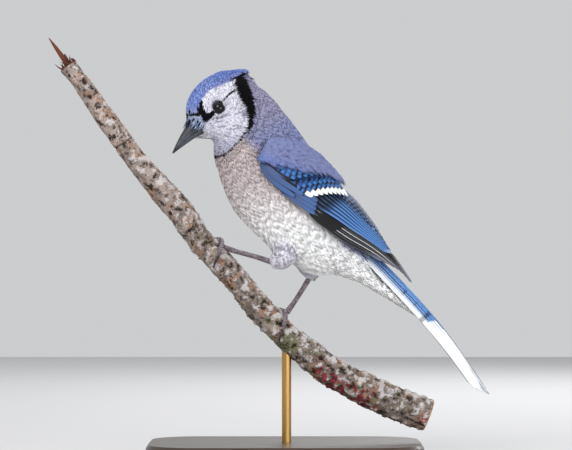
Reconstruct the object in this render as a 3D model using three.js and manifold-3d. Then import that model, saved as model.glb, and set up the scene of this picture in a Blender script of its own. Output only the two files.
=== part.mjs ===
// A life-size blue jay on a cut length of branch, held by a plain display stand.
// Millimetres, +Z up. The bird faces -X, its left side faces -Y, and its middle plane is y = 0.
// The origin is the centre of the base's underside.
import * as THREE from "three";
import { mergeVertices } from "three/addons/utils/BufferGeometryUtils.js";
import Module from "manifold-3d";

const wasm = await Module();
wasm.setup();

// Driving sizes
const GAP = 0.3;
const BASE = { length: 176, width: 116, height: 12, corner: 30, chamfer: 2 };
const ROD = { radius: 3, x: 1, sink: 6 };
const HEAD_YAW = THREE.MathUtils.degToRad(15);
const HEAD_PIVOT = new THREE.Vector3(-36, 0, 224);
const EYE = { radius: 4.1, x: -46.2, z: 226.6, y: 10.2 };
const VANE = 0.6;

// Outlines of the body, each ring by its top and bottom point in the middle plane, its half width,
// and where between bottom and top it is widest.
const TORSO = [
  { top: [-27, 241], bottom: [-44, 214], half: 9, mid: 0.5 },
  { top: [-17, 242], bottom: [-46.5, 201], half: 15.5, mid: 0.5 },
  { top: [-4.5, 231], bottom: [-45, 188.5], half: 20.5, mid: 0.5 },
  { top: [7, 216.5], bottom: [-41.5, 175], half: 24.5, mid: 0.5 },
  { top: [16.5, 203], bottom: [-35, 160], half: 27, mid: 0.5 },
  { top: [24.5, 191.5], bottom: [-25, 148.5], half: 27.5, mid: 0.48 },
  { top: [30, 179.5], bottom: [-12, 136.5], half: 26.5, mid: 0.46 },
  { top: [37, 167.5], bottom: [3, 125.5], half: 23.5, mid: 0.46 },
  { top: [43, 156.5], bottom: [18.5, 118.5], half: 19, mid: 0.5 },
  { top: [49, 145], bottom: [34, 118], half: 14, mid: 0.5 },
  { top: [56, 134], bottom: [46, 117], half: 10, mid: 0.5 },
  { top: [61, 127], bottom: [56, 118], half: 5, mid: 0.5 },
];
const HEAD = [
  { top: [-63.5, 219], bottom: [-54, 208.5], half: 4.6, mid: 0.5 },
  { top: [-64.2, 223], bottom: [-51, 206.5], half: 7, mid: 0.5 },
  { top: [-62.8, 231.5], bottom: [-46, 205.5], half: 10.4, mid: 0.45 },
  { top: [-56, 241], bottom: [-38.5, 205], half: 13.2, mid: 0.42 },
  { top: [-47.5, 246.8], bottom: [-29.5, 206], half: 14.8, mid: 0.42 },
  { top: [-38.5, 249.4], bottom: [-20.5, 211], half: 14.6, mid: 0.45 },
  { top: [-29.5, 248.8], bottom: [-15, 218.5], half: 12, mid: 0.5 },
  { top: [-22, 246.3], bottom: [-14, 227], half: 6.5, mid: 0.5 },
];
const UNDERTAIL = [
  { top: [36, 133], bottom: [29, 119], half: 9, mid: 0.5 },
  { top: [50.5, 127.5], bottom: [45, 114.5], half: 10.5, mid: 0.5 },
  { top: [64, 116.5], bottom: [59, 106.8], half: 9, mid: 0.5 },
  { top: [76, 105], bottom: [72.2, 98.8], half: 6.8, mid: 0.5 },
  { top: [85.5, 96], bottom: [83, 92.5], half: 4.2, mid: 0.5 },
  { top: [92.5, 88.5], bottom: [92, 87.5], half: 1, mid: 0.5 },
];
const BILL_UPPER = [
  { top: [-57, 222], bottom: [-51.5, 213.5], half: 4.4, mid: 0.35 },
  { top: [-61.5, 218.5], bottom: [-55.3, 211.2], half: 4.1, mid: 0.35 },
  { top: [-64.8, 212.8], bottom: [-59.7, 208.5], half: 3.3, mid: 0.35 },
  { top: [-68, 206.2], bottom: [-64.3, 204.5], half: 2.3, mid: 0.35 },
  { top: [-70.4, 200.8], bottom: [-68.4, 200.2], half: 1.3, mid: 0.4 },
  { top: [-71.6, 197.4], bottom: [-71.2, 197.1], half: 0.35, mid: 0.5 },
];
const BILL_LOWER = [
  { top: [-48.5, 216], bottom: [-46.5, 208.2], half: 4, mid: 0.6 },
  { top: [-55.6, 213.4], bottom: [-52.6, 206.8], half: 3.8, mid: 0.6 },
  { top: [-61, 210], bottom: [-58, 204.9], half: 3.1, mid: 0.6 },
  { top: [-65.4, 205.8], bottom: [-62.8, 202], half: 2.2, mid: 0.6 },
  { top: [-68.8, 201], bottom: [-67, 199], half: 1.2, mid: 0.5 },
  { top: [-70.4, 198.4], bottom: [-69.7, 197.5], half: 0.35, mid: 0.5 },
];

// Edges of the folded left wing, from its bend to the tip of the longest primary.
const WING_LOWER = [
  [-18.5, -24.6, 190.5],
  [-7, -28.4, 175],
  [9.5, -30, 161.5],
  [23.5, -28, 151.3],
  [38.5, -22.5, 141],
  [57.5, -14.5, 130.8],
  [73.5, -9.5, 119.3],
  [80.6, -7, 112.5],
];
const WING_UPPER = [
  [-12, -22.5, 203],
  [4, -18.5, 203],
  [21, -10.5, 193],
  [33.5, -5, 180],
  [45.4, -3.4, 165.5],
  [58.2, -2.8, 148.3],
  [67.6, -2.8, 133.2],
  [80, -4.6, 115.4],
];
const WING_BULGE = [2.2, 4.6, 5.4, 5, 4, 2.6, 1.4, 0.5];
const WING_DEPTH = [4.5, 5, 5, 4, 3, 1.6, 0.7, 0.5];

// Tiers of the wing: root and tip of the first and last vane as [along 0..7, across 0..1].
const WING_TIERS = [
  { count: 7, root: [[2.5, 0.03], [2.6, 0.24]], tip: [[5.3, 0.06], [7, 0.6]], width: 5.6, lift: 0.1 },
  { count: 5, root: [[2.2, 0.3], [2.7, 0.74]], tip: [[5.2, 0.36], [6.1, 0.9]], width: 8, lift: 0.6 },
  { count: 3, root: [[2.7, 0.74], [3, 0.9]], tip: [[4.6, 0.88], [5.5, 0.95]], width: 8, lift: 1.1 },
  { count: 3, root: [[1.5, 0.06], [1.6, 0.2]], tip: [[2.9, 0.05], [2.75, 0.24]], width: 5, lift: 0.9 },
  { count: 7, root: [[1.5, 0.28], [2.5, 0.9]], tip: [[2.3, 0.3], [3.5, 0.94]], width: 7.4, lift: 1.3 },
  { count: 2, root: [[0.5, 0.1], [0.5, 0.18]], tip: [[1.75, 0.06], [2.1, 0.22]], width: 5.2, lift: 1.5 },
  { count: 5, root: [[1, 0.36], [2, 0.92]], tip: [[1.75, 0.36], [2.85, 0.95]], width: 8, lift: 1.7 },
];

// Tail: middle line of the top pair from root to tip, then how the pairs beneath it step out and down.
const TAIL_LINE = [
  [46, 141.5],
  [56, 133.3],
  [73.6, 115.6],
  [93, 95],
  [112, 71.5],
  [131.3, 43.4],
];
const TAIL = { pairs: 6, width: 13, stepOut: 1.7, stepDown: 0.85, roll: 11, shorten: 0.012 };

// Legs, from the hidden upper end to the foot. The first toe wraps the branch's near side and the
// other three its far side.
const LEGS = [
  { side: "left", thigh: [[2, -10, 140, 9], [0, -12, 134, 9], [-3.5, -12.5, 128.7, 7.4], [-9.5, -12, 127.4, 3.4]],
    tarsus: [[-6, -12, 126.5, 1.9], [-18, -9, 130.5, 1.6], [-31, -5, 134, 1.6], [-41, -1.5, 137.2, 2]], foot: 0.4525 },
  { side: "right", thigh: [[14, 9, 132, 9], [16, 9, 124, 8], [17, 8.5, 119, 5.5], [16, 8, 115.5, 2.4]],
    tarsus: [[17, 8, 119, 1.9], [11.5, 6.5, 110, 1.6], [6, 4, 101.5, 1.6], [1.2, 1.5, 95, 2]], foot: 0.667 },
];
const TOES = [
  { turn: 145, length: 14, offset: 0.6, radius: 1.5, claw: 8.5 },
  { turn: -26, length: 16, offset: -1.2, radius: 1.3, claw: 7 },
  { turn: -4, length: 20, offset: 0, radius: 1.4, claw: 8 },
  { turn: 20, length: 16, offset: 1.2, radius: 1.3, claw: 7 },
];

// The perch: points of its middle line with the radius there.
const BRANCH = [
  [-139, 2, 253, 6],
  [-124, 1, 233, 6],
  [-106, 0, 207, 6.8],
  [-86, 0, 181, 7.6],
  [-68, 0, 161, 8.6],
  [-54, 0, 141, 8],
  [-40, 0, 126, 8.4],
  [-25, 0, 108, 8],
  [-8, 0, 88.5, 8.6],
  [10, 0, 72, 9],
  [35, 0, 53.5, 9.6],
  [62, 0, 40.5, 10.2],
  [92, 1, 28.5, 10.4],
];
const KNOTS = [
  { at: 0.36, angle: 200, height: 4.5, reach: 5 },
  { at: 0.12, angle: 190, height: 3, reach: 4 },
  { at: 0.63, angle: 330, height: 2.4, reach: 4 },
  { at: 0.88, angle: 60, height: 2.6, reach: 5 },
];
const SPLINTERS = [
  { lean: [-0.58, 0.05, 0.81], length: 23, radius: 2.3 },
  { lean: [-0.35, -0.3, 0.9], length: 9, radius: 1.8 },
  { lean: [0.25, 0.2, 0.95], length: 10, radius: 1.7 },
  { lean: [-0.8, 0.3, 0.3], length: 8, radius: 1.5 },
];

// Closed geometry from rings of points, with a point closing each end.
function fromRings(rings) {
  const sides = rings[0].length;
  const points = rings.flat();
  const first = points.length;
  points.push(middle(rings[0]), middle(rings[rings.length - 1]));
  const faces = [];
  for (let i = 0; i < rings.length - 1; i++)
    for (let j = 0; j < sides; j++) {
      const a = i * sides + j;
      const b = i * sides + ((j + 1) % sides);
      faces.push([a, b, b + sides], [a, b + sides, a + sides]);
    }
  const last = (rings.length - 1) * sides;
  for (let j = 0; j < sides; j++) {
    const next = (j + 1) % sides;
    faces.push([next, j, first], [last + j, last + next, first + 1]);
  }
  return solidFrom(points, faces);
}

function middle(ring) {
  return ring.reduce((sum, p) => sum.add(p), new THREE.Vector3()).multiplyScalar(1 / ring.length);
}

// A manifold solid from points and triangles, turned to face outwards.
function solidFrom(points, faces) {
  const build = (triangles) => new wasm.Manifold(new wasm.Mesh({
    numProp: 3,
    vertProperties: new Float32Array(points.flatMap((p) => p.toArray())),
    triVerts: new Uint32Array(triangles.flat()),
  }));
  const solid = build(faces);
  return solid.volume() < 0 ? build(faces.map(([a, b, c]) => [a, c, b])) : solid;
}

function solidOf(geometry) {
  geometry.deleteAttribute("normal");
  geometry.deleteAttribute("uv");
  const merged = mergeVertices(geometry, 1e-3);
  return new wasm.Manifold(new wasm.Mesh({
    numProp: 3,
    vertProperties: new Float32Array(merged.attributes.position.array),
    triVerts: new Uint32Array(merged.index.array),
  }));
}

// Catmull-Rom value of a list of number lists at a share t of its length.
function along(list, t) {
  const place = Math.min(Math.max(t, 0), 1) * (list.length - 1);
  const i = Math.min(Math.floor(place), list.length - 2);
  const f = place - i;
  const pick = (k) => list[Math.min(Math.max(k, 0), list.length - 1)];
  return list[i].map((_, n) => {
    const [a, b, c, d] = [pick(i - 1)[n], pick(i)[n], pick(i + 1)[n], pick(i + 2)[n]];
    return 0.5 * (2 * b + (c - a) * f + (2 * a - 5 * b + 4 * c - d) * f * f + (3 * b - a - 3 * c + d) * f ** 3);
  });
}

// A body form through its outline rings, rounded at both ends, grown outwards by grow.
function form(stations, { sides = 20, steps = 16, grow = 0, round = true } = {}) {
  const rows = stations.map((s) => [...s.top, ...s.bottom, s.half, s.mid]);
  const rings = [];
  const ring = (t, shrink) => {
    const [tx, tz, bx, bz, half, mid] = along(rows, t);
    const cx = bx + (tx - bx) * mid;
    const cz = bz + (tz - bz) * mid;
    return Array.from({ length: sides }, (_, j) => {
      const angle = (2 * Math.PI * j) / sides;
      const up = Math.sin(angle);
      const [ex, ez] = up > 0 ? [tx - cx, tz - cz] : [cx - bx, cz - bz];
      const reach = Math.hypot(ex, ez);
      const long = (1 + grow / reach) * shrink * up;
      return new THREE.Vector3(cx + ex * long, (half + grow) * shrink * Math.cos(angle), cz + ez * long);
    });
  };
  const shifted = (t, shrink, away) => {
    const [near, far] = away < 0 ? [0, 0.02] : [1, 0.98];
    const flow = middle(ring(near, 1)).sub(middle(ring(far, 1))).normalize();
    return ring(t, shrink).map((p) => p.addScaledVector(flow, Math.abs(away)));
  };
  const cap = (t, sign) => {
    const size = rows[t ? rows.length - 1 : 0][4] * 0.45 + grow;
    return [[0.45, 0.92], [0.85, 0.6]].map(([out, shrink]) => shifted(t, shrink, sign * out * size));
  };
  for (let i = 0; i <= steps; i++) rings.push(ring(i / steps, 1));
  return fromRings(round ? [...cap(0, -1).reverse(), ...rings, ...cap(1, 1)] : rings);
}

// A round tube through [x, y, z, radius] points, grown by grow; bump(t, angle) adds to the radius.
function tube(list, { sides = 8, steps = 8, grow = 0, bump = () => 0 } = {}) {
  const at = (t) => new THREE.Vector3(...along(list, t));
  const rings = [];
  for (let i = 0; i <= steps; i++) {
    const t = i / steps;
    const flow = at(Math.min(t + 0.01, 1)).sub(at(Math.max(t - 0.01, 0))).normalize();
    const side = new THREE.Vector3(0, 1, 0).addScaledVector(flow, -flow.y).normalize();
    const up = new THREE.Vector3().crossVectors(flow, side);
    rings.push(Array.from({ length: sides }, (_, j) => {
      const angle = (2 * Math.PI * j) / sides;
      const radius = along(list, t)[3] + grow + bump(t, angle);
      return at(t).addScaledVector(side, radius * Math.cos(angle)).addScaledVector(up, radius * Math.sin(angle));
    }));
  }
  return fromRings(rings);
}

// A feather vane: place(t) gives its rachis point and outward normal from root to tip.
// The two faces are split into the same triangles.
const VANE_STEPS = [0, 0.4, 0.8, 1];
const VANE_WIDTHS = [0.6, 1, 0.88, 0.32];
function vane(place, width, { thick = VANE, tilt = 0 } = {}) {
  const points = [];
  VANE_STEPS.forEach((t, i) => {
    const { point, normal } = place(t);
    const flow = place(Math.min(t + 0.02, 1)).point.sub(place(Math.max(t - 0.02, 0)).point).normalize();
    const side = new THREE.Vector3().crossVectors(flow, normal).normalize();
    const face = new THREE.Vector3().crossVectors(side, flow).normalize();
    const half = (width / 2) * VANE_WIDTHS[i];
    const lean = half * Math.tan(tilt);
    points.push(point.clone().addScaledVector(side, half).addScaledVector(face, lean));
    points.push(point.clone().addScaledVector(face, thick / 2));
    points.push(point.clone().addScaledVector(side, -half).addScaledVector(face, -lean));
    points.push(point.clone().addScaledVector(face, -thick / 2));
  });
  const faces = [];
  for (let i = 0; i < VANE_STEPS.length - 1; i++) {
    const [right, top, left, bottom] = [0, 1, 2, 3].map((k) => 4 * i + k);
    for (const [edge, rib, flip] of [[right, top, 0], [left, top, 1], [right, bottom, 1], [left, bottom, 0]]) {
      const made = [[edge, rib, rib + 4], [edge, rib + 4, edge + 4]];
      faces.push(...made.map(([a, b, c]) => (flip ? [a, c, b] : [a, b, c])));
    }
  }
  const end = 4 * (VANE_STEPS.length - 1);
  faces.push([0, 3, 1], [1, 3, 2], [end, end + 1, end + 3], [end + 1, end + 2, end + 3]);
  return solidFrom(points, faces);
}

// Booleans, keeping the largest closed surface
function join(solids) {
  return wasm.Manifold.union(solids);
}

function largest(solid) {
  return solid.decompose().reduce((a, b) => (b.volume() > a.volume() ? b : a));
}

function carve(solid, ...others) {
  return largest(others.reduce((made, other) => made.subtract(other), solid));
}

function ball(x, y, z, radius, segments = 16) {
  return solidOf(new THREE.SphereGeometry(radius, segments, segments / 2).translate(x, y, z));
}

function mirrored(solid) {
  return solid.mirror([0, 1, 0]);
}

function turned(solid) {
  const matrix = new THREE.Matrix4().makeTranslation(HEAD_PIVOT)
    .multiply(new THREE.Matrix4().makeRotationZ(HEAD_YAW))
    .multiply(new THREE.Matrix4().makeTranslation(HEAD_PIVOT.clone().negate()));
  return solid.transform(matrix.elements);
}

// Point and outward normal on the folded left wing, lifted off it
function wingPoint(s, t, lift = 0) {
  const place = (a, b) => {
    const low = new THREE.Vector3(...along(WING_LOWER, a / 7));
    const high = new THREE.Vector3(...along(WING_UPPER, a / 7));
    const [bulge] = along(WING_BULGE.map((v) => [v]), a / 7);
    const chord = high.clone().sub(low);
    const flow = new THREE.Vector3(...along(WING_LOWER, Math.min(a / 7 + 0.02, 1)))
      .sub(new THREE.Vector3(...along(WING_LOWER, Math.max(a / 7 - 0.02, 0))));
    const out = new THREE.Vector3().crossVectors(flow, chord).normalize();
    if (out.y > 0) out.negate();
    return low.addScaledVector(chord, b).addScaledVector(out, bulge * Math.sin(Math.PI * b));
  };
  const ds = place(Math.min(s + 0.1, 7), t).sub(place(Math.max(s - 0.1, 0), t));
  const dt = place(s, t + 0.05).sub(place(s, t - 0.05));
  const normal = new THREE.Vector3().crossVectors(ds, dt).normalize();
  if (normal.y > 0) normal.negate();
  return { point: place(s, t).addScaledVector(normal, lift), normal };
}

// The wing's inner pad, a plate between the wing surface and the body
function wingPad() {
  const rings = [];
  for (let i = 0; i <= 9; i++) {
    const s = 0.05 + i * 0.56;
    const [depth] = along(WING_DEPTH.map((v) => [v]), s / 7);
    const across = [0.04, 0.27, 0.5, 0.73, 0.95];
    const outer = across.map((t) => wingPoint(s, t, 0.1).point);
    const inner = [...across].reverse().map((t) => wingPoint(s, t, -depth).point);
    rings.push([...outer, ...inner]);
  }
  return fromRings(rings);
}

// Vanes start sunk in the pad and rise to their tier's height over the first third.
const ROOT_SINK = 1.5;
function wingVanes() {
  const made = [];
  for (const tier of WING_TIERS)
    for (let k = 0; k < tier.count; k++) {
      const share = tier.count > 1 ? k / (tier.count - 1) : 0;
      const mix = ([a, b], n) => a[n] + (b[n] - a[n]) * share;
      const [s0, t0, s1, t1] = [mix(tier.root, 0), mix(tier.root, 1), mix(tier.tip, 0), mix(tier.tip, 1)];
      const rise = (t) => THREE.MathUtils.smoothstep(t, -0.1, 0.4);
      const place = (t) => wingPoint(s0 + (s1 - s0) * t, t0 + (t1 - t0) * t,
        -ROOT_SINK + (tier.lift + ROOT_SINK + 0.05 * k) * rise(t));
      made.push(vane(place, tier.width, { tilt: 0.09 }));
    }
  return made;
}

function tailVanes() {
  const made = [];
  for (let k = 0; k < TAIL.pairs; k++)
    for (const side of [-1, 1]) {
      const reach = 1 - TAIL.shorten * k;
      const roll = THREE.MathUtils.degToRad(TAIL.roll * k + 8) * side;
      const place = (t) => {
        const [x, z] = along(TAIL_LINE, t * reach);
        const ahead = Math.min(t * reach + 0.01, 1);
        const back = along(TAIL_LINE, ahead - 0.02);
        const [fx, fz] = along(TAIL_LINE, ahead).map((v, n) => v - back[n]);
        const up = new THREE.Vector3(-fz, 0, fx).normalize();
        const normal = up.clone().multiplyScalar(Math.cos(roll)).add(new THREE.Vector3(0, Math.sin(roll), 0));
        const drop = TAIL.stepDown * k * (0.5 + 0.5 * t) + 1;
        const out = 1.9 + TAIL.stepOut * k * (0.35 + 0.65 * t);
        const point = new THREE.Vector3(x, side * out, z).addScaledVector(up, -drop);
        return { point, normal };
      };
      made.push(vane(place, TAIL.width - k * 0.8, { thick: 0.7 }));
    }
  return made;
}

// Crest feathers over the crown and the bristle tufts over the nostrils, as vanes rooted in the head
function crownVanes() {
  const made = [];
  for (let row = 0; row < 3; row++)
    for (let k = -1; k <= 1; k++) {
      const start = new THREE.Vector3(-52 + 8 * row, k * 4.8, 241.2 + 3 * row - 0.6 * k * k);
      const end = new THREE.Vector3(-38 + 7.3 * row, k * (4 - 1.2 * row), 249.2 + 0.3 * row - 0.5 * k * k);
      const place = (t) => ({
        point: start.clone().lerp(end, t).add(new THREE.Vector3(0, 0, 1.5 * Math.sin(Math.PI * t))),
        normal: new THREE.Vector3(-0.3, k * 0.3, 1).normalize(),
      });
      made.push(vane(place, 8, { thick: 1.8 }));
    }
  return made;
}

function nasalTufts() {
  const made = [];
  for (const side of [-1, 1])
    for (let k = 0; k < 3; k++) {
      const start = new THREE.Vector3(-58, side * (1.2 + 1.6 * k), 221 - 1.4 * k);
      const end = new THREE.Vector3(-63.6 + 1.3 * k, side * (1.4 + 1.05 * k), 214 - 0.9 * k);
      const normal = new THREE.Vector3(-0.6, side * (0.3 + 0.3 * k), 0.4).normalize();
      made.push(vane((t) => ({ point: start.clone().lerp(end, t), normal }), 3.2, { thick: 1.2 }));
    }
  return made;
}

function lid(side) {
  const ring = new THREE.TorusGeometry(EYE.radius - 0.1, 0.65, 5, 14);
  ring.rotateX(Math.PI / 2).rotateZ(side * -0.12).translate(EYE.x, side * (EYE.y + 1.5), EYE.z);
  return solidOf(ring);
}

// Toes lie over the branch from a foot's place on its upper side, the claws curve on round it.
function branchRing(t, angle, lift) {
  const [x, y, z, radius] = along(BRANCH, t);
  const [x1, y1, z1] = along(BRANCH, Math.min(t + 0.01, 1));
  const flow = new THREE.Vector3(x1 - x, y1 - y, z1 - z).normalize();
  const up = new THREE.Vector3(0, 0, 1).addScaledVector(flow, -flow.z).normalize();
  const side = new THREE.Vector3().crossVectors(flow, up);
  return new THREE.Vector3(x, y, z)
    .addScaledVector(up, (radius + lift) * Math.cos(angle))
    .addScaledVector(side, (radius + lift) * Math.sin(angle));
}

const BRANCH_LENGTH = 330;
const GRIP_RADIUS = 9.8;
const CLAW_ARCH = 1.6;
function toePath(leg, toe, from, to, thick, thin, arch = 0) {
  const turn = THREE.MathUtils.degToRad(toe.turn);
  const list = [];
  for (let i = 0; i <= 4; i++) {
    const reach = from + ((to - from) * i) / 4;
    const radius = thick + ((thin - thick) * i) / 4;
    const round = (reach / GRIP_RADIUS) * (Math.cos(turn) < 0 ? 1 : -1);
    const slide = (reach * Math.sin(turn) + toe.offset) / BRANCH_LENGTH;
    const point = branchRing(leg.foot + slide, round, radius * 0.92 + arch * Math.sin((Math.PI * i) / 4));
    list.push([...point.toArray(), radius]);
  }
  return list;
}

function knotBump(t, angle) {
  const wave = 0.35 * Math.sin(38 * t + 2 * angle) + 0.3 * Math.sin(61 * t - angle);
  return KNOTS.reduce((sum, knot) => {
    const away = Math.cos(angle - THREE.MathUtils.degToRad(knot.angle));
    const near = Math.exp(-(((t - knot.at) * BRANCH_LENGTH) ** 2) / knot.reach ** 2);
    return sum + knot.height * near * Math.max(0, away) ** 3;
  }, wave);
}

function branchSolid(grow = 0) {
  return tube(BRANCH, { sides: 12, steps: 38, grow, bump: knotBump });
}

function splinters() {
  const [x, y, z] = BRANCH[0];
  return SPLINTERS.map(({ lean, length, radius }, k) => {
    const dir = new THREE.Vector3(...lean).normalize();
    const root = new THREE.Vector3(x + 4 - 1.2 * k, y + (k % 2 ? 1.6 : -1.4), z - 5);
    const at = (d, r) => [...root.clone().addScaledVector(dir, d).toArray(), r];
    return tube([at(0, radius), at(length * 0.5 + 4, radius * 0.8), at(length + 5, 0.3)], { sides: 6, steps: 3 });
  });
}

// Assembly
const group = new THREE.Group();
const made = new Map();
function add(name, solid, color, roughness = 0.8, metalness = 0) {
  const mesh = solid.getMesh();
  const geometry = new THREE.BufferGeometry();
  geometry.setAttribute("position", new THREE.BufferAttribute(new Float32Array(mesh.vertProperties), 3));
  geometry.setIndex(new THREE.BufferAttribute(new Uint32Array(mesh.triVerts), 1));
  geometry.computeVertexNormals();
  const piece = new THREE.Mesh(geometry, new THREE.MeshStandardMaterial({ color, roughness, metalness, flatShading: true }));
  piece.name = name;
  group.add(piece);
  made.set(name, solid);
}

const torsoForm = (grow = 0) => form(TORSO, { sides: 18, steps: 16, grow });
const headForm = (grow = 0) => form(HEAD, { sides: 18, steps: 12, grow });
const coverForm = (grow = 0) => form(UNDERTAIL, { sides: 12, steps: 8, grow });
const thighForm = (leg, grow = 0) => tube(leg.thigh, { sides: 12, steps: 6, grow });
const tarsusForm = (leg, grow = 0) => tube(leg.tarsus, { sides: 8, steps: 6, grow });
const toeForm = (leg, toe, grow = 0) =>
  tube(toePath(leg, toe, 0, toe.length, toe.radius + 0.3, toe.radius * 0.8), { sides: 6, steps: 5, grow });
const toeForms = (leg, grow = 0) => TOES.map((toe) => toeForm(leg, toe, grow));

const billUpper = (grow = 0) => form(BILL_UPPER, { sides: 12, steps: 9, grow });
const billLower = (grow = 0) => form(BILL_LOWER, { sides: 10, steps: 8, grow });
const eyes = (side, grow = 0) => ball(EYE.x, side * EYE.y, EYE.z, EYE.radius + grow);

function buildHead() {
  const whole = join([headForm(), ...crownVanes(), ...nasalTufts(), lid(-1), lid(1)]);
  const cut = carve(whole, eyes(-1, GAP), eyes(1, GAP), billUpper(GAP), billLower(GAP));
  add("head", turned(cut), 0x6f83c4);
  for (const [side, name] of [[-1, "left"], [1, "right"]]) add("eye_" + name, turned(eyes(side)), 0x0b0808, 0.1);
  add("bill_upper", turned(billUpper()), 0x3a3c42, 0.4);
  add("bill_lower", turned(carve(billLower(), billUpper(GAP))), 0x34363c, 0.4);
}

// The neck and breast are parted from the torso, and the torso from the rump, by thin cuts across the body.
const BODY_CUTS = [
  { name: "neck", normal: [-0.69, 0, 0.72], through: [-23, 0, 203] },
  { name: "torso", normal: [-0.62, 0, 0.78], through: [25, 0, 150] },
];
function buildBody() {
  let rest = carve(torsoForm(), turned(headForm(GAP)), turned(billLower(GAP)));
  for (const { name, normal, through } of BODY_CUTS) {
    const offset = normal[0] * through[0] + normal[2] * through[2];
    add(name, largest(rest.trimByPlane(normal, offset + GAP / 2)), name === "neck" ? 0xb9adab : 0xd9d3d0);
    rest = largest(rest.trimByPlane(normal.map((v) => -v), -offset + GAP / 2));
  }
  add("rump", carve(rest, coverForm(GAP)), 0xf2f2f2);
  add("tail_coverts", coverForm(), 0xf7f7f7);
}

function buildWings() {
  const body = [torsoForm(GAP), turned(headForm(GAP)), coverForm(GAP)];
  const whole = carve(join([wingPad(), ...wingVanes()]), ...body);
  const left = largest(whole.trimByPlane([0, -1, 0], GAP));
  add("wing_left", left, 0x3f6fc0);
  const right = carve(mirrored(join([wingPad(), ...wingVanes()])), ...body);
  add("wing_right", largest(right.trimByPlane([0, 1, 0], GAP)), 0x3f6fc0);
}

function buildTail() {
  const parts = join(tailVanes());
  add("tail", carve(parts, torsoForm(GAP), coverForm(GAP)), 0x4c7fcc);
}

function buildLegs() {
  const perch = branchSolid(GAP);
  for (const leg of LEGS) {
    const thigh = carve(thighForm(leg), torsoForm(GAP), coverForm(GAP), made.get("wing_" + leg.side));
    add("thigh_" + leg.side, thigh, 0xc9c6cc);
    const foot = carve(join(toeForms(leg)), perch);
    add("foot_" + leg.side, foot, 0x55505a, 0.6);
    add("shank_" + leg.side, carve(tarsusForm(leg), thighForm(leg, GAP), torsoForm(GAP), perch, ...toeForms(leg, GAP)), 0x5a555f, 0.6);
    TOES.forEach((toe, k) => {
      const path = toePath(leg, toe, toe.length + 0.4, toe.length + toe.claw, toe.radius * 0.8, 0.35, CLAW_ARCH);
      const claw = carve(tube(path, { sides: 6, steps: 4 }), perch, ...toeForms(leg, GAP));
      add(`claw_${leg.side}_${k + 1}`, claw, 0x1c1a1c, 0.35);
    });
  }
}

function buildPerch() {
  const wood = branchSolid();
  add("perch_branch", wood, 0x8d857c, 0.95);
  add("perch_splinters", carve(join(splinters()), branchSolid(GAP)), 0x6a3a22, 0.9);
}

function buildStand() {
  const { length, width, height, corner, chamfer } = BASE;
  const plan = new THREE.Shape();
  const [hx, hy] = [length / 2 - chamfer, width / 2 - chamfer];
  plan.moveTo(-hx + corner, -hy);
  const corners = [[1, -1, -0.5], [1, 1, 0], [-1, 1, 0.5], [-1, -1, 1]];
  for (const [sx, sy, start] of corners)
    plan.absarc(sx * (hx - corner), sy * (hy - corner), corner, start * Math.PI, (start + 0.5) * Math.PI, false);
  const board = new THREE.ExtrudeGeometry(plan, {
    depth: height - chamfer, curveSegments: 6, bevelEnabled: true, bevelThickness: chamfer, bevelSize: chamfer, bevelSegments: 1,
  });
  const base = solidOf(board).trimByPlane([0, 0, 1], 0);
  const rodTop = along(BRANCH, 0.667)[2];
  const rod = solidOf(new THREE.CylinderGeometry(ROD.radius, ROD.radius, rodTop - height + ROD.sink, 20)
    .rotateX(Math.PI / 2).translate(ROD.x, 0, (rodTop + height - ROD.sink) / 2));
  const socket = solidOf(new THREE.CylinderGeometry(ROD.radius + GAP, ROD.radius + GAP, 2 * ROD.sink, 20)
    .rotateX(Math.PI / 2).translate(ROD.x, 0, height));
  add("stand_base", base.subtract(socket), 0x3b2b22, 0.5);
  add("stand_rod", carve(rod.trimByPlane([0, 0, 1], height - ROD.sink + GAP), branchSolid(GAP)), 0xb08d57, 0.35, 0.9);
}

buildHead();
buildBody();
buildWings();
buildTail();
buildPerch();
buildLegs();
buildStand();

export default group;
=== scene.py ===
"""The looks of a life-size blue jay on a cut length of branch, held by a plain display stand.

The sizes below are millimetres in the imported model's frame: +Z up, the bird faces -X, its left
side faces -Y, and the origin is the centre of the base's underside. MM turns them into metres.
"""

import logging
import math
from collections.abc import Callable
from dataclasses import dataclass, field
from enum import Enum
from functools import partial

import bmesh
import bpy
import numpy as np
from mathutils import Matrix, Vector, noise
from mathutils.bvhtree import BVHTree
from mathutils.kdtree import KDTree


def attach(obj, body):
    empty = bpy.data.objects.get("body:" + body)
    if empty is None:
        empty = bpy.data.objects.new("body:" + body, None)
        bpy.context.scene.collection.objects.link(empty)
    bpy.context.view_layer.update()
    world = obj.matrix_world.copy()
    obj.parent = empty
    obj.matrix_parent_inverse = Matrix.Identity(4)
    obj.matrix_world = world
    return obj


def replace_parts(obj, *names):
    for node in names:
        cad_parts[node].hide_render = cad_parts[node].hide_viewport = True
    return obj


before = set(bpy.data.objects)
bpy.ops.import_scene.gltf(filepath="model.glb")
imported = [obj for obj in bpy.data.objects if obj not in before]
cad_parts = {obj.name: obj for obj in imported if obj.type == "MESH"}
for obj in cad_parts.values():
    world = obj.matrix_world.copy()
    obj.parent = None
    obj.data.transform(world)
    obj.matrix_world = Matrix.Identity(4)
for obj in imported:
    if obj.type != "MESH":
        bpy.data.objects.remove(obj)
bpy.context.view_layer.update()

log = logging.getLogger("blue_jay")
MM = 0.001
BAKE_MAP = "OFBake"
VANE_MAP = "Vane"
MARKING = "Marking"
TUFT_PATCH = 0.003
HEAD_YAW = math.radians(15)
HEAD_PIVOT = np.array([-36.0, 0.0, 224.0])
GAPE = np.array([-54.0, 0.0, 212.0])
EYE_PLACE = np.array([-45.0, -10.2, 225.1])
EYE_RADIUS = 4.1
THIRDS = (0, 1 / 3, 2 / 3, 1)
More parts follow.
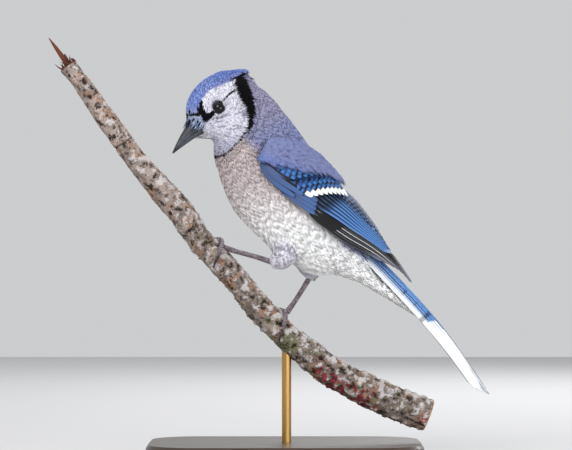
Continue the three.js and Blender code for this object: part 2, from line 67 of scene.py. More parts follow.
BODY_AXIS = [
    [-35, 0, 228], [-30, 0, 219], [-24, 0, 206], [-14, 0, 192], [-1, 0, 176],
    [12, 0, 160], [24, 0, 146], [37, 0, 133], [50, 0, 124], [62, 0, 114],
    [78, 0, 100], [92, 0, 86],
]
THIGHS = [[[2, -10, 140], [0, -12, 134], [-3.5, -12.5, 128.7], [-9.5, -12, 127.4]],
          [[14, 9, 132], [16, 9, 124], [17, 8.5, 119], [16, 8, 115.5]]]


def linear(rgb: tuple[float, float, float]) -> np.ndarray:
    """Linear light of a colour written as the screen shows it."""
    c = np.asarray(rgb, float)
    return np.where(c <= 0.04045, c / 12.92, ((c + 0.055) / 1.055) ** 2.4)


def smooth(low: float, high: float, x: np.ndarray) -> np.ndarray:
    """Soft step from 0 at low to 1 at high."""
    t = np.clip((x - low) / (high - low), 0, 1)
    return t * t * (3 - 2 * t)


def unit(v: np.ndarray) -> np.ndarray:
    """Rows of v at length one."""
    return v / np.maximum(np.linalg.norm(v, axis=-1, keepdims=True), 1e-9)


def lay(tone: np.ndarray, paint: np.ndarray, amount: np.ndarray) -> np.ndarray:
    """One paint over a tone, by an amount from 0 to 1 for each row."""
    share = np.reshape(amount, (-1, 1))
    return tone * (1 - share) + paint * share


def grain(a: np.ndarray, b: np.ndarray, seed: int = 2, size: int = 128) -> np.ndarray:
    """Smooth cloudy noise over two coordinates, one patch for each unit.

    Args:
        a: The first coordinates.
        b: The second coordinates.
        seed: Seed of the table of random numbers.
        size: Patches after which the noise comes round again.

    Returns:
        Values from 0 to 1.
    """
    table = np.random.default_rng(seed).random((size, size))
    i, j = np.floor(a).astype(int), np.floor(b).astype(int)
    f, g = smooth(0, 1, a - i), smooth(0, 1, b - j)
    near = table[i % size, j % size] * (1 - g) + table[i % size, (j + 1) % size] * g
    far = table[(i + 1) % size, j % size] * (1 - g) + table[(i + 1) % size, (j + 1) % size] * g
    return near * (1 - f) + far * f


class Course:
    """A smooth curve through rows of numbers."""

    def __init__(self, rows: list[list[float]]) -> None:
        """Keeps the rows that the curve passes through."""
        self.rows = np.asarray(rows, float)

    def at(self, t: np.ndarray) -> np.ndarray:
        """Values at shares t of the curve's length.

        Args:
            t: Shares from 0 at the first row to 1 at the last, of any shape.

        Returns:
            An array with one more axis than t, holding the interpolated rows.
        """
        count = len(self.rows)
        spot = np.clip(np.asarray(t, float), 0, 1) * (count - 1)
        i = np.minimum(spot.astype(int), count - 2)
        f = (spot - i)[..., None]
        a, b, c, d = (self.rows[np.clip(i + k, 0, count - 1)] for k in (-1, 0, 1, 2))
        return 0.5 * (2 * b + (c - a) * f + (2 * a - 5 * b + 4 * c - d) * f**2
                      + (3 * b - a - 3 * c + d) * f**3)

    def nearest(self, points: np.ndarray) -> tuple[np.ndarray, np.ndarray, np.ndarray]:
        """Nearest place on the straight pieces between rows.

        Args:
            points: Rows of x, y, z.

        Returns:
            The share along the curve, the place there and the direction there, for each point.
        """
        best = np.full(len(points), np.inf)
        share = np.zeros(len(points))
        where = np.zeros((len(points), self.rows.shape[1]))
        for i, (p, q) in enumerate(zip(self.rows[:-1], self.rows[1:])):
            step = q - p
            f = np.clip((points - p) @ step / (step @ step), 0, 1)
            spot = p + f[:, None] * step
            far = np.linalg.norm(points - spot, axis=1)
            nearer = far < best
            best[nearer] = far[nearer]
            share[nearer] = (i + f[nearer]) / (len(self.rows) - 1)
            where[nearer] = spot[nearer]
        ahead = self.at(share + 0.04) - self.at(share - 0.04)
        return share, where, unit(ahead)


def turned(points: np.ndarray, angle: float) -> np.ndarray:
    """Points turned by an angle about the upright line through the head's pivot.

    Args:
        points: Places in millimetres.
        angle: Angle in radians.

    Returns:
        The turned places.
    """
    c, s = math.cos(angle), math.sin(angle)
    d = points - HEAD_PIVOT
    return np.stack([c * d[:, 0] - s * d[:, 1], s * d[:, 0] + c * d[:, 1], d[:, 2]], 1) + HEAD_PIVOT


def to_head(points: np.ndarray) -> np.ndarray:
    """Points as they are before the head turns, when its middle plane is y = 0."""
    return turned(points, -HEAD_YAW)


def from_head(points: np.ndarray) -> np.ndarray:
    """Points of the straight head once it has turned."""
    return turned(points, HEAD_YAW)


def thigh_gap(points: np.ndarray) -> np.ndarray:
    """Distance from each point to the middle line of the nearer thigh, in millimetres."""
    gaps = [np.linalg.norm(points - Course(line).nearest(points)[1], axis=1) for line in THIGHS]
    return np.min(gaps, 0)


class Value:
    """A shader socket that takes part in Python arithmetic, adding a Math node each time."""

    def __init__(self, shader: "Shader", socket: bpy.types.NodeSocket) -> None:
        """Wraps one output socket of a shader."""
        self.shader = shader
        self.socket = socket

    def _math(self, operation: str, first: object, second: object) -> "Value":
        """The result of one Math operation on two values or numbers."""
        return self.shader.node("ShaderNodeMath", {"operation": operation}, {0: first, 1: second})

    def __add__(self, other: object) -> "Value":
        """This plus another."""
        return self._math("ADD", self, other)

    def __sub__(self, other: object) -> "Value":
        """This less another."""
        return self._math("SUBTRACT", self, other)

    def __rsub__(self, other: object) -> "Value":
        """Another less this."""
        return self._math("SUBTRACT", other, self)

    def __mul__(self, other: object) -> "Value":
        """This times another."""
        return self._math("MULTIPLY", self, other)

    __radd__ = __add__
    __rmul__ = __mul__

    def shaped(self, operation: str) -> "Value":
        """The result of a Math operation with one input."""
        return self.shader.node("ShaderNodeMath", {"operation": operation}, {0: self})

    def ranged(self, low: float, high: float, to_low: float = 0.0, to_high: float = 1.0) -> "Value":
        """This moved from the range low to high into another, and held inside it."""
        return self.shader.node("ShaderNodeMapRange", {"clamp": True},
                                {0: self, 1: low, 2: high, 3: to_low, 4: to_high})


class Shader:
    """A node material under construction."""

    def __init__(self, name: str) -> None:
        """Starts an empty material with its output node.

        Args:
            name: The material's name.
        """
        self.material = bpy.data.materials.new(name)
        self.material.use_nodes = True
        self.tree = self.material.node_tree
        self.tree.nodes.clear()
        self.end = self.tree.nodes.new("ShaderNodeOutputMaterial")

    def node(self, kind: str, settings: dict | None = None, inputs: dict | None = None,
             output: int | str = 0) -> Value:
        """Adds a node.

        Args:
            kind: The node's type name.
            settings: Properties set on the node first.
            inputs: Socket name or index to a number, a tuple or a Value.
            output: Name or index of the output that is wanted.

        Returns:
            The wanted output socket.
        """
        made = self.tree.nodes.new(kind)
        for key, value in (settings or {}).items():
            setattr(made, key, value)
        for key, value in (inputs or {}).items():
            if isinstance(value, Value):
                self.tree.links.new(value.socket, made.inputs[key])
            else:
                made.inputs[key].default_value = value
        return Value(self, made.outputs[output])

    def mix(self, amount: object, first: object, second: object) -> Value:
        """Colour between first and second by an amount from 0 to 1."""
        pair = [v if isinstance(v, Value) else (*linear(v), 1) for v in (first, second)]
        return self.node("ShaderNodeMix", {"data_type": "RGBA"}, {0: amount, 6: pair[0], 7: pair[1]}, 2)

    def marks(self) -> Value:
        """The colours that are stored in the mesh."""
        return self.node("ShaderNodeAttribute", {"attribute_name": MARKING}, output="Color")

    def lit(self, colour: Value, light: Value) -> Value:
        """A colour made darker or lighter by a value about 1."""
        return self.node("ShaderNodeHueSaturation", None, {"Value": light, "Color": colour})

    def noise(self, scale: float, detail: float = 3, where: Value | None = None,
              roughness: float = 0.5) -> Value:
        """Cloudy noise from 0 to 1 on Object coordinates, or on another vector."""
        at = where or self.node("ShaderNodeTexCoord", output="Object")
        return self.node("ShaderNodeTexNoise", None,
                         {"Vector": at, "Scale": scale, "Detail": detail, "Roughness": roughness})

    def stretched(self, scale: tuple[float, float, float]) -> Value:
        """Object coordinates scaled by axis."""
        at = self.node("ShaderNodeTexCoord", output="Object")
        return self.node("ShaderNodeMapping", None, {"Vector": at, "Scale": scale})

    def bump(self, height: Value, distance: float, strength: float = 1.0) -> Value:
        """A normal from a height, with the distance in metres that height 1 stands for."""
        return self.node("ShaderNodeBump", None,
                         {"Height": height, "Distance": distance, "Strength": strength})

    def finish(self, **inputs: object) -> bpy.types.Material:
        """Ends in a Principled shader.

        Args:
            inputs: Its sockets, with underscores for spaces; a colour is a tuple of three.

        Returns:
            The finished material.
        """
        named = {}
        for key, value in inputs.items():
            is_colour = isinstance(value, tuple) and len(value) == 3
            named[key.replace("_", " ")] = (*linear(value), 1) if is_colour else value
        made = self.node("ShaderNodeBsdfPrincipled", None, named)
        self.tree.links.new(made.socket, self.end.inputs["Surface"])
        return self.material


@dataclass(frozen=True)
class PlumageFinish:
    """Soft body feathers, coloured by the markings stored in the mesh."""

    roughness: float = 0.78
    mottle: float = 260.0

    def material(self) -> bpy.types.Material:
        """The material.

        Returns:
            The material.
        """
        s = Shader("Soft_Plumage")
        speck = s.noise(self.mottle, 2).ranged(0.3, 0.7, 0.88, 1.08)
        return s.finish(Base_Color=s.lit(s.marks(), speck), Roughness=self.roughness, Specular_IOR_Level=0.12)


@dataclass(frozen=True)
class VaneFinish:
    """Smooth flight, covert and tail vanes: stored colours with fine barbs across the vane."""

    barbs: float = 1.9
    slope: float = 2.4
    roughness: float = 0.5

    def material(self) -> bpy.types.Material:
        """The material.

        Returns:
            The material.
        """
        s = Shader("Smooth_Vanes")
        own = s.node("ShaderNodeUVMap", {"uv_map": VANE_MAP})
        across = s.node("ShaderNodeSeparateXYZ", None, {0: own})
        along = Value(s, across.socket.node.outputs[1])
        slant = along * self.barbs - across.shaped("ABSOLUTE") * self.slope
        wave = (slant * (2 * math.pi)).shaped("SINE") * 0.5 + 0.5
        return s.finish(Base_Color=s.lit(s.marks(), wave.ranged(0, 1, 0.86, 1.06)),
                        Roughness=self.roughness, Specular_IOR_Level=0.25,
                        Normal=s.bump(wave, 0.00006, 0.5))


@dataclass(frozen=True)
class EyeFinish:
    """A wet dark brown eye with a black pupil."""

    axis: tuple[float, float, float]
    centre: tuple[float, float, float]

    def material(self, name: str) -> bpy.types.Material:
        """The material, with its iris round the axis that the eye looks along.

        Args:
            name: The material's name.

        Returns:
            The material.
        """
        s = Shader(name)
        here = s.node("ShaderNodeTexCoord", output="Object")
        out = s.node("ShaderNodeVectorMath", {"operation": "SUBTRACT"}, {0: here, 1: self.centre})
        way = s.node("ShaderNodeVectorMath", {"operation": "NORMALIZE"}, {0: out})
        look = s.node("ShaderNodeVectorMath", {"operation": "DOT_PRODUCT"}, {0: way, 1: self.axis}, 1)
        streak = s.noise(900, 2).ranged(0.3, 0.7, 0, 0.4)
        iris = s.mix(streak, (0.05, 0.032, 0.028), (0.09, 0.055, 0.045))
        ring = s.mix(look.ranged(0.78, 0.82), iris, (0.004, 0.004, 0.007))
        whole = s.mix(look.ranged(0.5, 0.56, 1, 0), ring, (0.02, 0.015, 0.015))
        return s.finish(Base_Color=whole, Roughness=0.06, Specular_IOR_Level=0.35)


@dataclass(frozen=True)
class HornFinish:
    """Slate horn of the bill or dark horn of the claws, with faint growth streaks."""

    name: str
    dark: tuple[float, float, float]
    light: tuple[float, float, float]
    roughness: float = 0.36

    def material(self) -> bpy.types.Material:
        """The material.

        Returns:
            The material.
        """
        s = Shader(self.name)
        streak = s.noise(420, 4, s.stretched((0.35, 1, 0.35)))
        cloud = s.noise(160, 3)
        tone = s.mix(streak.ranged(0.35, 0.65) * 0.6 + cloud.ranged(0.4, 0.7) * 0.4, self.dark, self.light)
        rough = cloud.ranged(0.3, 0.7, self.roughness - 0.06, self.roughness + 0.1)
        return s.finish(Base_Color=tone, Roughness=rough, Normal=s.bump(streak, 0.00012, 0.5),
                        Specular_IOR_Level=0.5)


@dataclass(frozen=True)
class ScaleFinish:
    """Dull purplish grey skin of the legs, in small scales."""

    def material(self) -> bpy.types.Material:
        """The material.

        Returns:
            The material.
        """
        s = Shader("Leg_Scales")
        cells = s.node("ShaderNodeTexVoronoi", {"feature": "DISTANCE_TO_EDGE"},
                       {"Vector": s.stretched((1, 1, 0.75)), "Scale": 900.0})
        plate = cells.ranged(0.02, 0.16)
        patch = s.noise(240, 3)
        skin = s.mix(patch.ranged(0.35, 0.65), (0.4, 0.355, 0.39), (0.58, 0.53, 0.56))
        tone = s.mix(plate, (0.2, 0.165, 0.185), skin)
        return s.finish(Base_Color=tone, Roughness=plate.ranged(0, 1, 0.75, 0.5),
                        Normal=s.bump(plate, 0.00015, 0.8))


@dataclass(frozen=True)
class BarkFinish:
    """Dry bark under lichen, coloured by the patches stored in the mesh, with fine grit."""

    grit: float = 900.0

    def material(self) -> bpy.types.Material:
        """The material.

        Returns:
            The material.
        """
        s = Shader("Lichened_Bark")
        grit = s.noise(self.grit, 5, roughness=0.7)
        rough = grit * 0.6 + s.noise(320, 4) * 0.4
        tone = s.lit(s.marks(), rough.ranged(0.35, 0.65, 0.72, 1.2))
        return s.finish(Base_Color=tone, Roughness=grit.ranged(0.3, 0.7, 0.8, 0.98),
                        Normal=s.bump(rough, 0.0009, 1.0), Specular_IOR_Level=0.15)


@dataclass(frozen=True)
class WoodFinish:
    """Wood with grain along one axis: the torn splinters or the polished base."""

    name: str
    dark: tuple[float, float, float]
    light: tuple[float, float, float]
    stretch: tuple[float, float, float]
    roughness: float
    gloss: float = 0.0

    def material(self) -> bpy.types.Material:
        """The material.

        Returns:
            The material.
        """
        s = Shader(self.name)
        at = s.stretched(self.stretch)
        rings = s.noise(55, 4, at)
        pores = s.noise(420, 3, at)
        tone = s.mix(rings.ranged(0.3, 0.7) * 0.75 + pores.ranged(0.4, 0.6) * 0.25, self.dark, self.light)
        rough = pores.ranged(0.3, 0.7, self.roughness - 0.05, self.roughness + 0.08)
        return s.finish(Base_Color=tone, Roughness=rough, Coat_Weight=self.gloss, Coat_Roughness=0.2,
                        Normal=s.bump(pores, 0.00015, 0.5))


@dataclass(frozen=True)
class BrassFinish:
    """Brushed brass of the rod."""

    def material(self) -> bpy.types.Material:
        """The material.

        Returns:
            The material.
        """
        s = Shader("Brushed_Brass")
        lines = s.noise(600, 3, s.stretched((1, 1, 0.06)))
        tone = s.mix(lines, (0.62, 0.47, 0.25), (0.8, 0.65, 0.4))
        return s.finish(Base_Color=tone, Metallic=1.0, Roughness=lines.ranged(0.3, 0.7, 0.25, 0.42))


@dataclass(frozen=True)
class FloorFinish:
    """Plain pale floor."""

    def material(self) -> bpy.types.Material:
        """The material."""
        s = Shader("Pale_Floor")
        return s.finish(Base_Color=(0.8, 0.8, 0.805), Roughness=0.9, Specular_IOR_Level=0.2)


def mesh_object(name: str, mesh: bpy.types.Mesh, material: bpy.types.Material) -> bpy.types.Object:
    """Links a finished mesh as a piece that rides on the model's one body.

    Args:
        name: The piece's name.
        mesh: Its mesh, in place, in metres.
        material: Its material.

    Returns:
        The new object.
    """
    piece = bpy.data.objects.new(name, mesh)
    mesh.materials.clear()
    mesh.materials.append(material)
    bpy.context.scene.collection.objects.link(piece)
    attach(piece, "root")
    return piece


def mesh_from(name: str, points: np.ndarray, faces: np.ndarray) -> bpy.types.Mesh:
    """A mesh from rows of numbers.

    Args:
        name: The mesh's name.
        points: Rows of x, y and z in millimetres.
        faces: Rows of three or four places in the points.

    Returns:
        The mesh.
    """
    mesh = bpy.data.meshes.new(name)
    corners = faces.shape[1]
    mesh.vertices.add(len(points))
    mesh.vertices.foreach_set("co", (points * MM).astype(np.float32).ravel())
    mesh.loops.add(faces.size)
    mesh.loops.foreach_set("vertex_index", faces.astype(np.int32).ravel())
    mesh.polygons.add(len(faces))
    mesh.polygons.foreach_set("loop_start", (np.arange(len(faces)) * corners).astype(np.int32))
    mesh.update(calc_edges=True)
    return mesh


def ended(bm: bmesh.types.BMesh, name: str, outward: bool = False, rounded: bool = False) -> bpy.types.Mesh:
    """Ends a bmesh as a mesh.

    Args:
        bm: The bmesh, which is freed.
        name: The mesh's name.
        outward: Whether its faces are first turned outwards.
        rounded: Whether its faces are shaded smooth.

    Returns:
        The mesh.
    """
    if outward:
        bmesh.ops.recalc_face_normals(bm, faces=bm.faces)
    for face in bm.faces:
        face.smooth = rounded
    mesh = bpy.data.meshes.new(name)
    bm.to_mesh(mesh)
    bm.free()
    return mesh


def shade_round(mesh: bpy.types.Mesh) -> None:
    """Shades all of a mesh smooth."""
    mesh.polygons.foreach_set("use_smooth", np.ones(len(mesh.polygons), bool))


def read_points(mesh: bpy.types.Mesh) -> tuple[np.ndarray, np.ndarray]:
    """A mesh's points in millimetres, and its normals there.

    Args:
        mesh: The mesh.

    Returns:
        Points in millimetres, and normals.
    """
    rows = []
    for holder, key in ((mesh.vertices, "co"), (mesh.vertex_normals, "vector")):
        flat = np.zeros(len(mesh.vertices) * 3)
        holder.foreach_get(key, flat)
        rows.append(flat.reshape(-1, 3))
    return rows[0] / MM, rows[1]


def move_points(mesh: bpy.types.Mesh, points: np.ndarray) -> None:
    """Moves a mesh's points to places in millimetres."""
    mesh.vertices.foreach_set("co", (points * MM).astype(np.float32).ravel())
    mesh.update()


def loft(name: str, rings: np.ndarray) -> bpy.types.Mesh:
    """A closed, smooth mesh over rings of points in millimetres, with a cap at each end.

    Args:
        name: The mesh's name.
        rings: Points by ring and place round it, in millimetres.

    Returns:
        The mesh.
    """
    bm = bmesh.new()
    rows = [[bm.verts.new(Vector(p) * MM) for p in ring] for ring in rings]
    for near, far in zip(rows[:-1], rows[1:]):
        for k in range(len(near)):
            bm.faces.new((near[k - 1], near[k], far[k], far[k - 1]))
    bm.faces.new(rows[0][::-1])
    bm.faces.new(rows[-1])
    return ended(bm, name, outward=True, rounded=True)


def tree_of(*meshes: bpy.types.Mesh) -> BVHTree:
    """A search tree over one or more meshes, in millimetres.

    Args:
        meshes: One or more meshes.

    Returns:
        The search tree.
    """
    points, faces = [], []
    for mesh in meshes:
        first = len(points)
        points += [v.co / MM for v in mesh.vertices]
        faces += [[first + i for i in face.vertices] for face in mesh.polygons]
    return BVHTree.FromPolygons(points, faces)


def store_colours(mesh: bpy.types.Mesh, colours: np.ndarray) -> None:
    """Stores one linear colour a vertex as the markings.

    Args:
        mesh: The mesh.
        colours: One linear colour for each of its points.
    """
    layer = mesh.color_attributes.new(MARKING, "FLOAT_COLOR", "POINT")
    rows = np.ones((len(mesh.vertices), 4), np.float32)
    rows[:, :3] = colours
    layer.data.foreach_set("color", rows.ravel())


def store_map(mesh: bpy.types.Mesh, name: str, places: np.ndarray) -> None:
    """Stores a UV map from one place a vertex.

    Args:
        mesh: The mesh.
        name: The map's name.
        places: One place in the map for each of its points.
    """
    layer = mesh.uv_layers.new(name=name)
    index = np.zeros(len(mesh.loops), np.int32)
    mesh.loops.foreach_get("vertex_index", index)
    layer.data.foreach_set("uv", places[index].astype(np.float32).ravel())


@dataclass
class Tufts:
    """A batch of small feathers, each a fan of tapering barbs laid along a path."""

    paths: np.ndarray
    normals: np.ndarray
    width: np.ndarray
    lift: np.ndarray
    places: np.ndarray
    barbs: int = 6
    spread: float = 0.75
    contrast: float = 1.0
    ridge: float = 0.55
    seed: int = 5
    dome: float = 0.16
    sections: tuple = ((0.3, 0.55, -0.3), (0.8, 1.0, 0.75), (1.1, 0.0, 1.0))
    faces: tuple = ((0, 1, 2), (0, 2, 5), (0, 5, 3), (2, 1, 4), (2, 4, 5), (1, 0, 3), (1, 3, 4),
                    (3, 5, 6), (5, 4, 6), (4, 3, 6))
    # painted shade towards each barb's root and painted light at its tip, one factor for each corner
    painted_shading: tuple = (-0.3, -0.3, -0.3, -0.02, -0.02, -0.02, 0.12)
    patch_rise: tuple = (-0.5, -0.5, -0.5, 0.0, 0.0, 0.0, 0.5)

    def build(self, name: str, colour_at: Callable[[np.ndarray], np.ndarray]) -> bpy.types.Mesh:
        """Makes the closed barbs of all the feathers as one mesh.

        Args:
            name: The mesh's name.
            colour_at: Function from points in millimetres to linear colours.

        Returns:
            The mesh, with its markings and its bake map.
        """
        rng = np.random.default_rng(self.seed)
        each = (len(self.paths), self.barbs)
        offset = np.linspace(-1, 1, self.barbs) + rng.normal(0, 0.12, each)
        points = self._barbs(offset, rng)
        tone = self._tones(colour_at(points[:, :, 5].reshape(-1, 3)), rng)
        corners = points.shape[2]
        base = (np.arange(each[0] * each[1]) * corners)[:, None, None]
        faces = (np.array(self.faces)[None] + base).reshape(-1, 3)
        mesh = mesh_from(name, points.reshape(-1, 3), faces)
        store_colours(mesh, tone)
        local = np.stack([np.broadcast_to(offset[..., None] * 0.4, (*each, corners)),
                          np.broadcast_to(self.patch_rise, (*each, corners))], -1)
        spots = self.places[:, None, None, :] + local * TUFT_PATCH
        store_map(mesh, BAKE_MAP, np.clip(spots, 0, 1).reshape(-1, 2))
        return mesh

    def _barbs(self, offset: np.ndarray, rng: np.random.Generator) -> np.ndarray:
        """Corners of every barb: a small three-sided section, a large one and the tip.

        Args:
            offset: Places across the feather, from about -1 to 1, for each feather and barb.
            rng: The feathers' own random numbers.

        Returns:
            An array of points by feather, barb and corner.
        """
        width = self.width[:, None]
        reach = 1 - 0.28 * offset**2 + rng.normal(0, 0.07, offset.shape)
        start = np.clip(0.05 + 0.15 * rng.random(offset.shape), 0, 0.4)
        middle = start + (reach - start) * 0.55
        half = width / self.barbs * (0.8 + 0.3 * rng.random(offset.shape))
        loose = 0.5 * self.contrast * (rng.random(offset.shape) - 0.5)
        rise = self.lift[:, None] * (1 + loose)
        corners = []
        for share, (fan, grow, high) in zip((start, middle, reach), self.sections):
            spot, way, side, up = self._along(share)
            aside = offset * self.spread * fan * width * 0.5
            height = rise * high - self.dome * (offset * fan) ** 2 * width * 0.5
            centre = spot + side * aside[..., None] + up * height[..., None]
            if grow:
                corners.append(centre + side * (half * grow)[..., None])
                corners.append(centre - side * (half * grow)[..., None])
                corners.append(centre + up * (half * grow * self.ridge)[..., None])
            else:
                corners.append(centre)
        return np.stack(corners, 2)

    def _tones(self, colours: np.ndarray, rng: np.random.Generator) -> np.ndarray:
        """Colour of every corner: painted shade at a barb's root and painted light at its tip, and a little
        different for each barb.

        Args:
            colours: One linear colour for each barb.
            rng: The feathers' own random numbers.

        Returns:
            One linear colour for each corner.
        """
        count = len(self.paths)
        tone = colours.reshape(count, self.barbs, 1, 3)
        tone = tone * np.clip(rng.normal(1, 0.06 * self.contrast, (count, 1, 1, 1)), 0.8, 1.2)
        tone = tone * np.clip(rng.normal(1, 0.09 * self.contrast, (count, self.barbs, 1, 1)), 0.7, 1.25)
        along = np.array(self.painted_shading) * self.contrast + 1
        return np.clip(tone * along[None, None, :, None], 0, 1).reshape(-1, 3)

    def _along(self, share: np.ndarray) -> tuple[np.ndarray, ...]:
        """Point, direction, side and normal of each path at shares of its length.

        Args:
            share: Shares by feather and barb.

        Returns:
            Four arrays of rows by feather and barb.
        """
        stops = self.paths.shape[1]
        spot = np.clip(share, 0, 1.2) * (stops - 1)
        i = np.clip(spot.astype(int), 0, stops - 2)
        f = (spot - i)[..., None]
        row = np.arange(len(self.paths))[:, None]
        here, there = self.paths[row, i], self.paths[row, i + 1]
        up = unit(self.normals[row, i] * (1 - f) + self.normals[row, i + 1] * f)
        way = unit(there - here)
        side = unit(np.cross(way, up))
        return here + (there - here) * f, way, side, up


@dataclass
class Markings:
    """Colours of the plumage by place, written as the screen shows them."""

    black: tuple = (0.025, 0.025, 0.045)
    crown: tuple = (0.42, 0.5, 0.76)
    crown_low: tuple = (0.5, 0.53, 0.74)
    crown_fleck: tuple = (0.68, 0.75, 0.9)
    nape: tuple = (0.53, 0.52, 0.62)
    mantle: tuple = (0.47, 0.5, 0.66)
    scapular: tuple = (0.4, 0.46, 0.68)
    face: tuple = (0.86, 0.86, 0.91)
    throat: tuple = (0.72, 0.71, 0.79)
    streak: tuple = (0.5, 0.49, 0.57)
    breast: tuple = (0.7, 0.65, 0.655)
    belly: tuple = (0.97, 0.97, 0.97)
    bristle: tuple = (0.6, 0.64, 0.75)
    thigh: tuple = (0.8, 0.79, 0.83)
    # painted light: a gain on the body's colours that makes up for shade on the down-facing belly
    painted_light_gain: float = 1.0
    crown_edge: list[list[float]] = field(default_factory=lambda: [
        [-64.6, 221.3], [-53.8, 221.9], [-53.1, 225.8], [-52.5, 230.3], [-51.5, 232.8],
        [-49.6, 234.9], [-45.6, 237.7], [-40, 240.1], [-35.2, 242.2], [-32, 244],
        [-25.6, 246.9], [-19.2, 248.2]])
    collar: list = field(default_factory=lambda: [
        [-46.1, 195.1], [-43.5, 194.4], [-40, 195.3], [-36, 197.3], [-32, 201.5],
        [-30.2, 203.7], [-27.7, 205.9], [-26.5, 208.5], [-23.4, 211.1], [-22.6, 214.3],
        [-21.8, 218.1], [-21.7, 222.1], [-22.3, 226.1], [-24.1, 230.9], [-26.2, 236],
        [-27.9, 240.5], [-27.8, 244], [-26.7, 247.2], [-22.4, 248.9]])
    collar_half: list = field(default_factory=lambda: [
        0.8, 0.85, 0.85, 0.6, 0.45, 0.45, 0.5, 0.6, 1.2, 1.75, 2.2, 2.65, 3.1, 3.7, 4.1, 4.2,
        3.6, 1.4, 0.0])
    lores: list = field(default_factory=lambda: [
        [-54.8, 228.1], [-52.5, 230.3], [-52, 224.5], [-50, 222.1], [-48, 222.1], [-45.2, 224.3],
        [-44, 222.5], [-44.4, 221.3], [-48, 217.3], [-50.4, 215.7], [-52.5, 217.5], [-53.8, 220.7]])
    bristles: list = field(default_factory=lambda: [
        [-66, 220], [-52, 219.5], [-50, 215], [-54, 212], [-66, 212]])
    strokes: list = field(default_factory=lambda: [
        ([[-66, 220.9], [-63, 220.6], [-58, 220.8], [-52, 221]], 1.0),
        ([[-60.8, 223.3], [-60.8, 222.3]], 0.7), ([[-55.6, 225], [-54, 221]], 0.9),
        ([[-41.5, 228.4], [-40, 229.4], [-37.8, 231.8], [-35.2, 234.2], [-32.2, 236.4]], 0.5),
        ([[-46.4, 217.6], [-45.2, 218.2]], 0.35), ([[-44.2, 218.5], [-42.9, 218.9]], 0.3),
        ([[-41.6, 219.2], [-40.2, 219.5]], 0.3), ([[-29, 245.6], [-34.4, 243.6]], 0.6)])

    @staticmethod
    def near(flat: np.ndarray, line: list[list[float]]) -> tuple[np.ndarray, np.ndarray]:
        """Distance to a line drawn on the side view, and the share along it."""
        share, where, _ = Course(line).nearest(flat)
        return np.linalg.norm(flat - where, axis=1), share

    @staticmethod
    def seen(straight: np.ndarray) -> np.ndarray:
        """Side view of points of the straight head, as the turned head's left side shows them.

        Args:
            straight: Points of the straight head.

        Returns:
            Rows of x and z.
        """
        c, s = math.cos(HEAD_YAW), math.sin(HEAD_YAW)
        x = HEAD_PIVOT[0] + c * (straight[:, 0] - HEAD_PIVOT[0]) + s * np.abs(straight[:, 1])
        return np.stack([x, straight[:, 2]], 1)

    @staticmethod
    def inside(flat: np.ndarray, outline: list[list[float]]) -> np.ndarray:
        """Whether points of the side view lie inside a closed outline.

        Args:
            flat: Rows of x and z.
            outline: Corners of the outline, in order.

        Returns:
            One truth value a point.
        """
        odd = np.zeros(len(flat), bool)
        for (x0, z0), (x1, z1) in zip(outline, outline[1:] + outline[:1]):
            level = (flat[:, 1] >= z0) != (flat[:, 1] >= z1)
            cross = x0 + (flat[:, 1] - z0) * (x1 - x0) / (z1 - z0 if z1 != z0 else 1)
            odd ^= level & (flat[:, 0] < cross)
        return odd

    def behind_collar(self, straight: np.ndarray) -> np.ndarray:
        """How far behind the black collar a point of the straight head lies, in millimetres.

        Args:
            straight: Points of the straight head.

        Returns:
            Distances, below zero in front of the collar.
        """
        flat = self.seen(straight)
        _, where, way = Course(self.collar).nearest(flat)
        off = flat - where
        far = np.linalg.norm(off, axis=1)
        return np.where(way[:, 0] * off[:, 1] - way[:, 1] * off[:, 0] > 0, -far, far)

    def on_head(self, straight: np.ndarray, rng: np.random.Generator) -> np.ndarray:
        """Colours in front of the collar, for points of the straight head.

        Args:
            straight: Points of the straight head.
            rng: Random numbers for the flecks.

        Returns:
            Linear colours.
        """
        flat = self.seen(straight)
        count = len(flat)
        tone = np.tile(linear(self.face), (count, 1))
        low = smooth(213, 199, flat[:, 1])
        tone = lay(tone, linear(self.throat), low)
        fan = flat - [-52, 213]
        lines = grain(np.arctan2(fan[:, 1], fan[:, 0]) * 24, np.linalg.norm(fan, axis=1) / 5.5)
        tone = lay(tone, linear(self.streak), smooth(0.55, 0.8, lines) * 0.75 * smooth(232, 224, flat[:, 1]))
        hind = smooth(-9, -1, self.behind_collar(straight)) * smooth(214, 222, flat[:, 1])
        tone = lay(tone, linear(self.streak) * 0.5, hind * (rng.random(count) < 0.8) * 0.6)
        above = flat[:, 1] - np.interp(flat[:, 0], *np.array(self.crown_edge).T)
        crown = lay(linear(self.crown), linear(self.crown_low), smooth(5, 0, above))
        fleck = ((rng.random(count) < 0.3) & (flat[:, 0] < -45)) * 0.45
        tone = lay(tone, lay(crown, linear(self.crown_fleck), fleck), smooth(-0.7, 0.7, above))
        tone = np.where(self.inside(flat, self.bristles)[:, None], linear(self.bristle), tone)
        dark = self.inside(flat, self.lores).astype(float)
        for line, half in self.strokes:
            dark = np.maximum(dark, smooth(half + 0.25, half - 0.25, self.near(flat, line)[0]))
        return lay(tone, linear(self.black), dark)

    def on_body(self, points: np.ndarray) -> np.ndarray:
        """Colours behind the collar.

        Args:
            points: Places in millimetres.

        Returns:
            Linear colours.
        """
        share, where, way = Course(BODY_AXIS).nearest(points)
        out = points - where
        up = unit(np.cross(way, [0.0, 1.0, 0.0]))
        dorsal = np.einsum("ij,ij->i", out, up) / np.maximum(np.linalg.norm(out, axis=1), 1e-6)
        under = lay(linear(self.belly), linear(self.breast), 1 - smooth(0.3, 0.62, share - 0.1 * dorsal))
        under = lay(under, linear(self.thigh), smooth(11.5, 8.5, thigh_gap(points)))
        over = lay(linear(self.nape), linear(self.mantle), smooth(0.08, 0.3, share))
        edge = np.interp(share, [0, 0.12, 0.25, 0.5, 0.62, 0.8], [-0.35, -0.2, 0.1, 0.35, 0.25, 0.6])
        return lay(under, over, smooth(-0.22, 0.22, dorsal - edge))

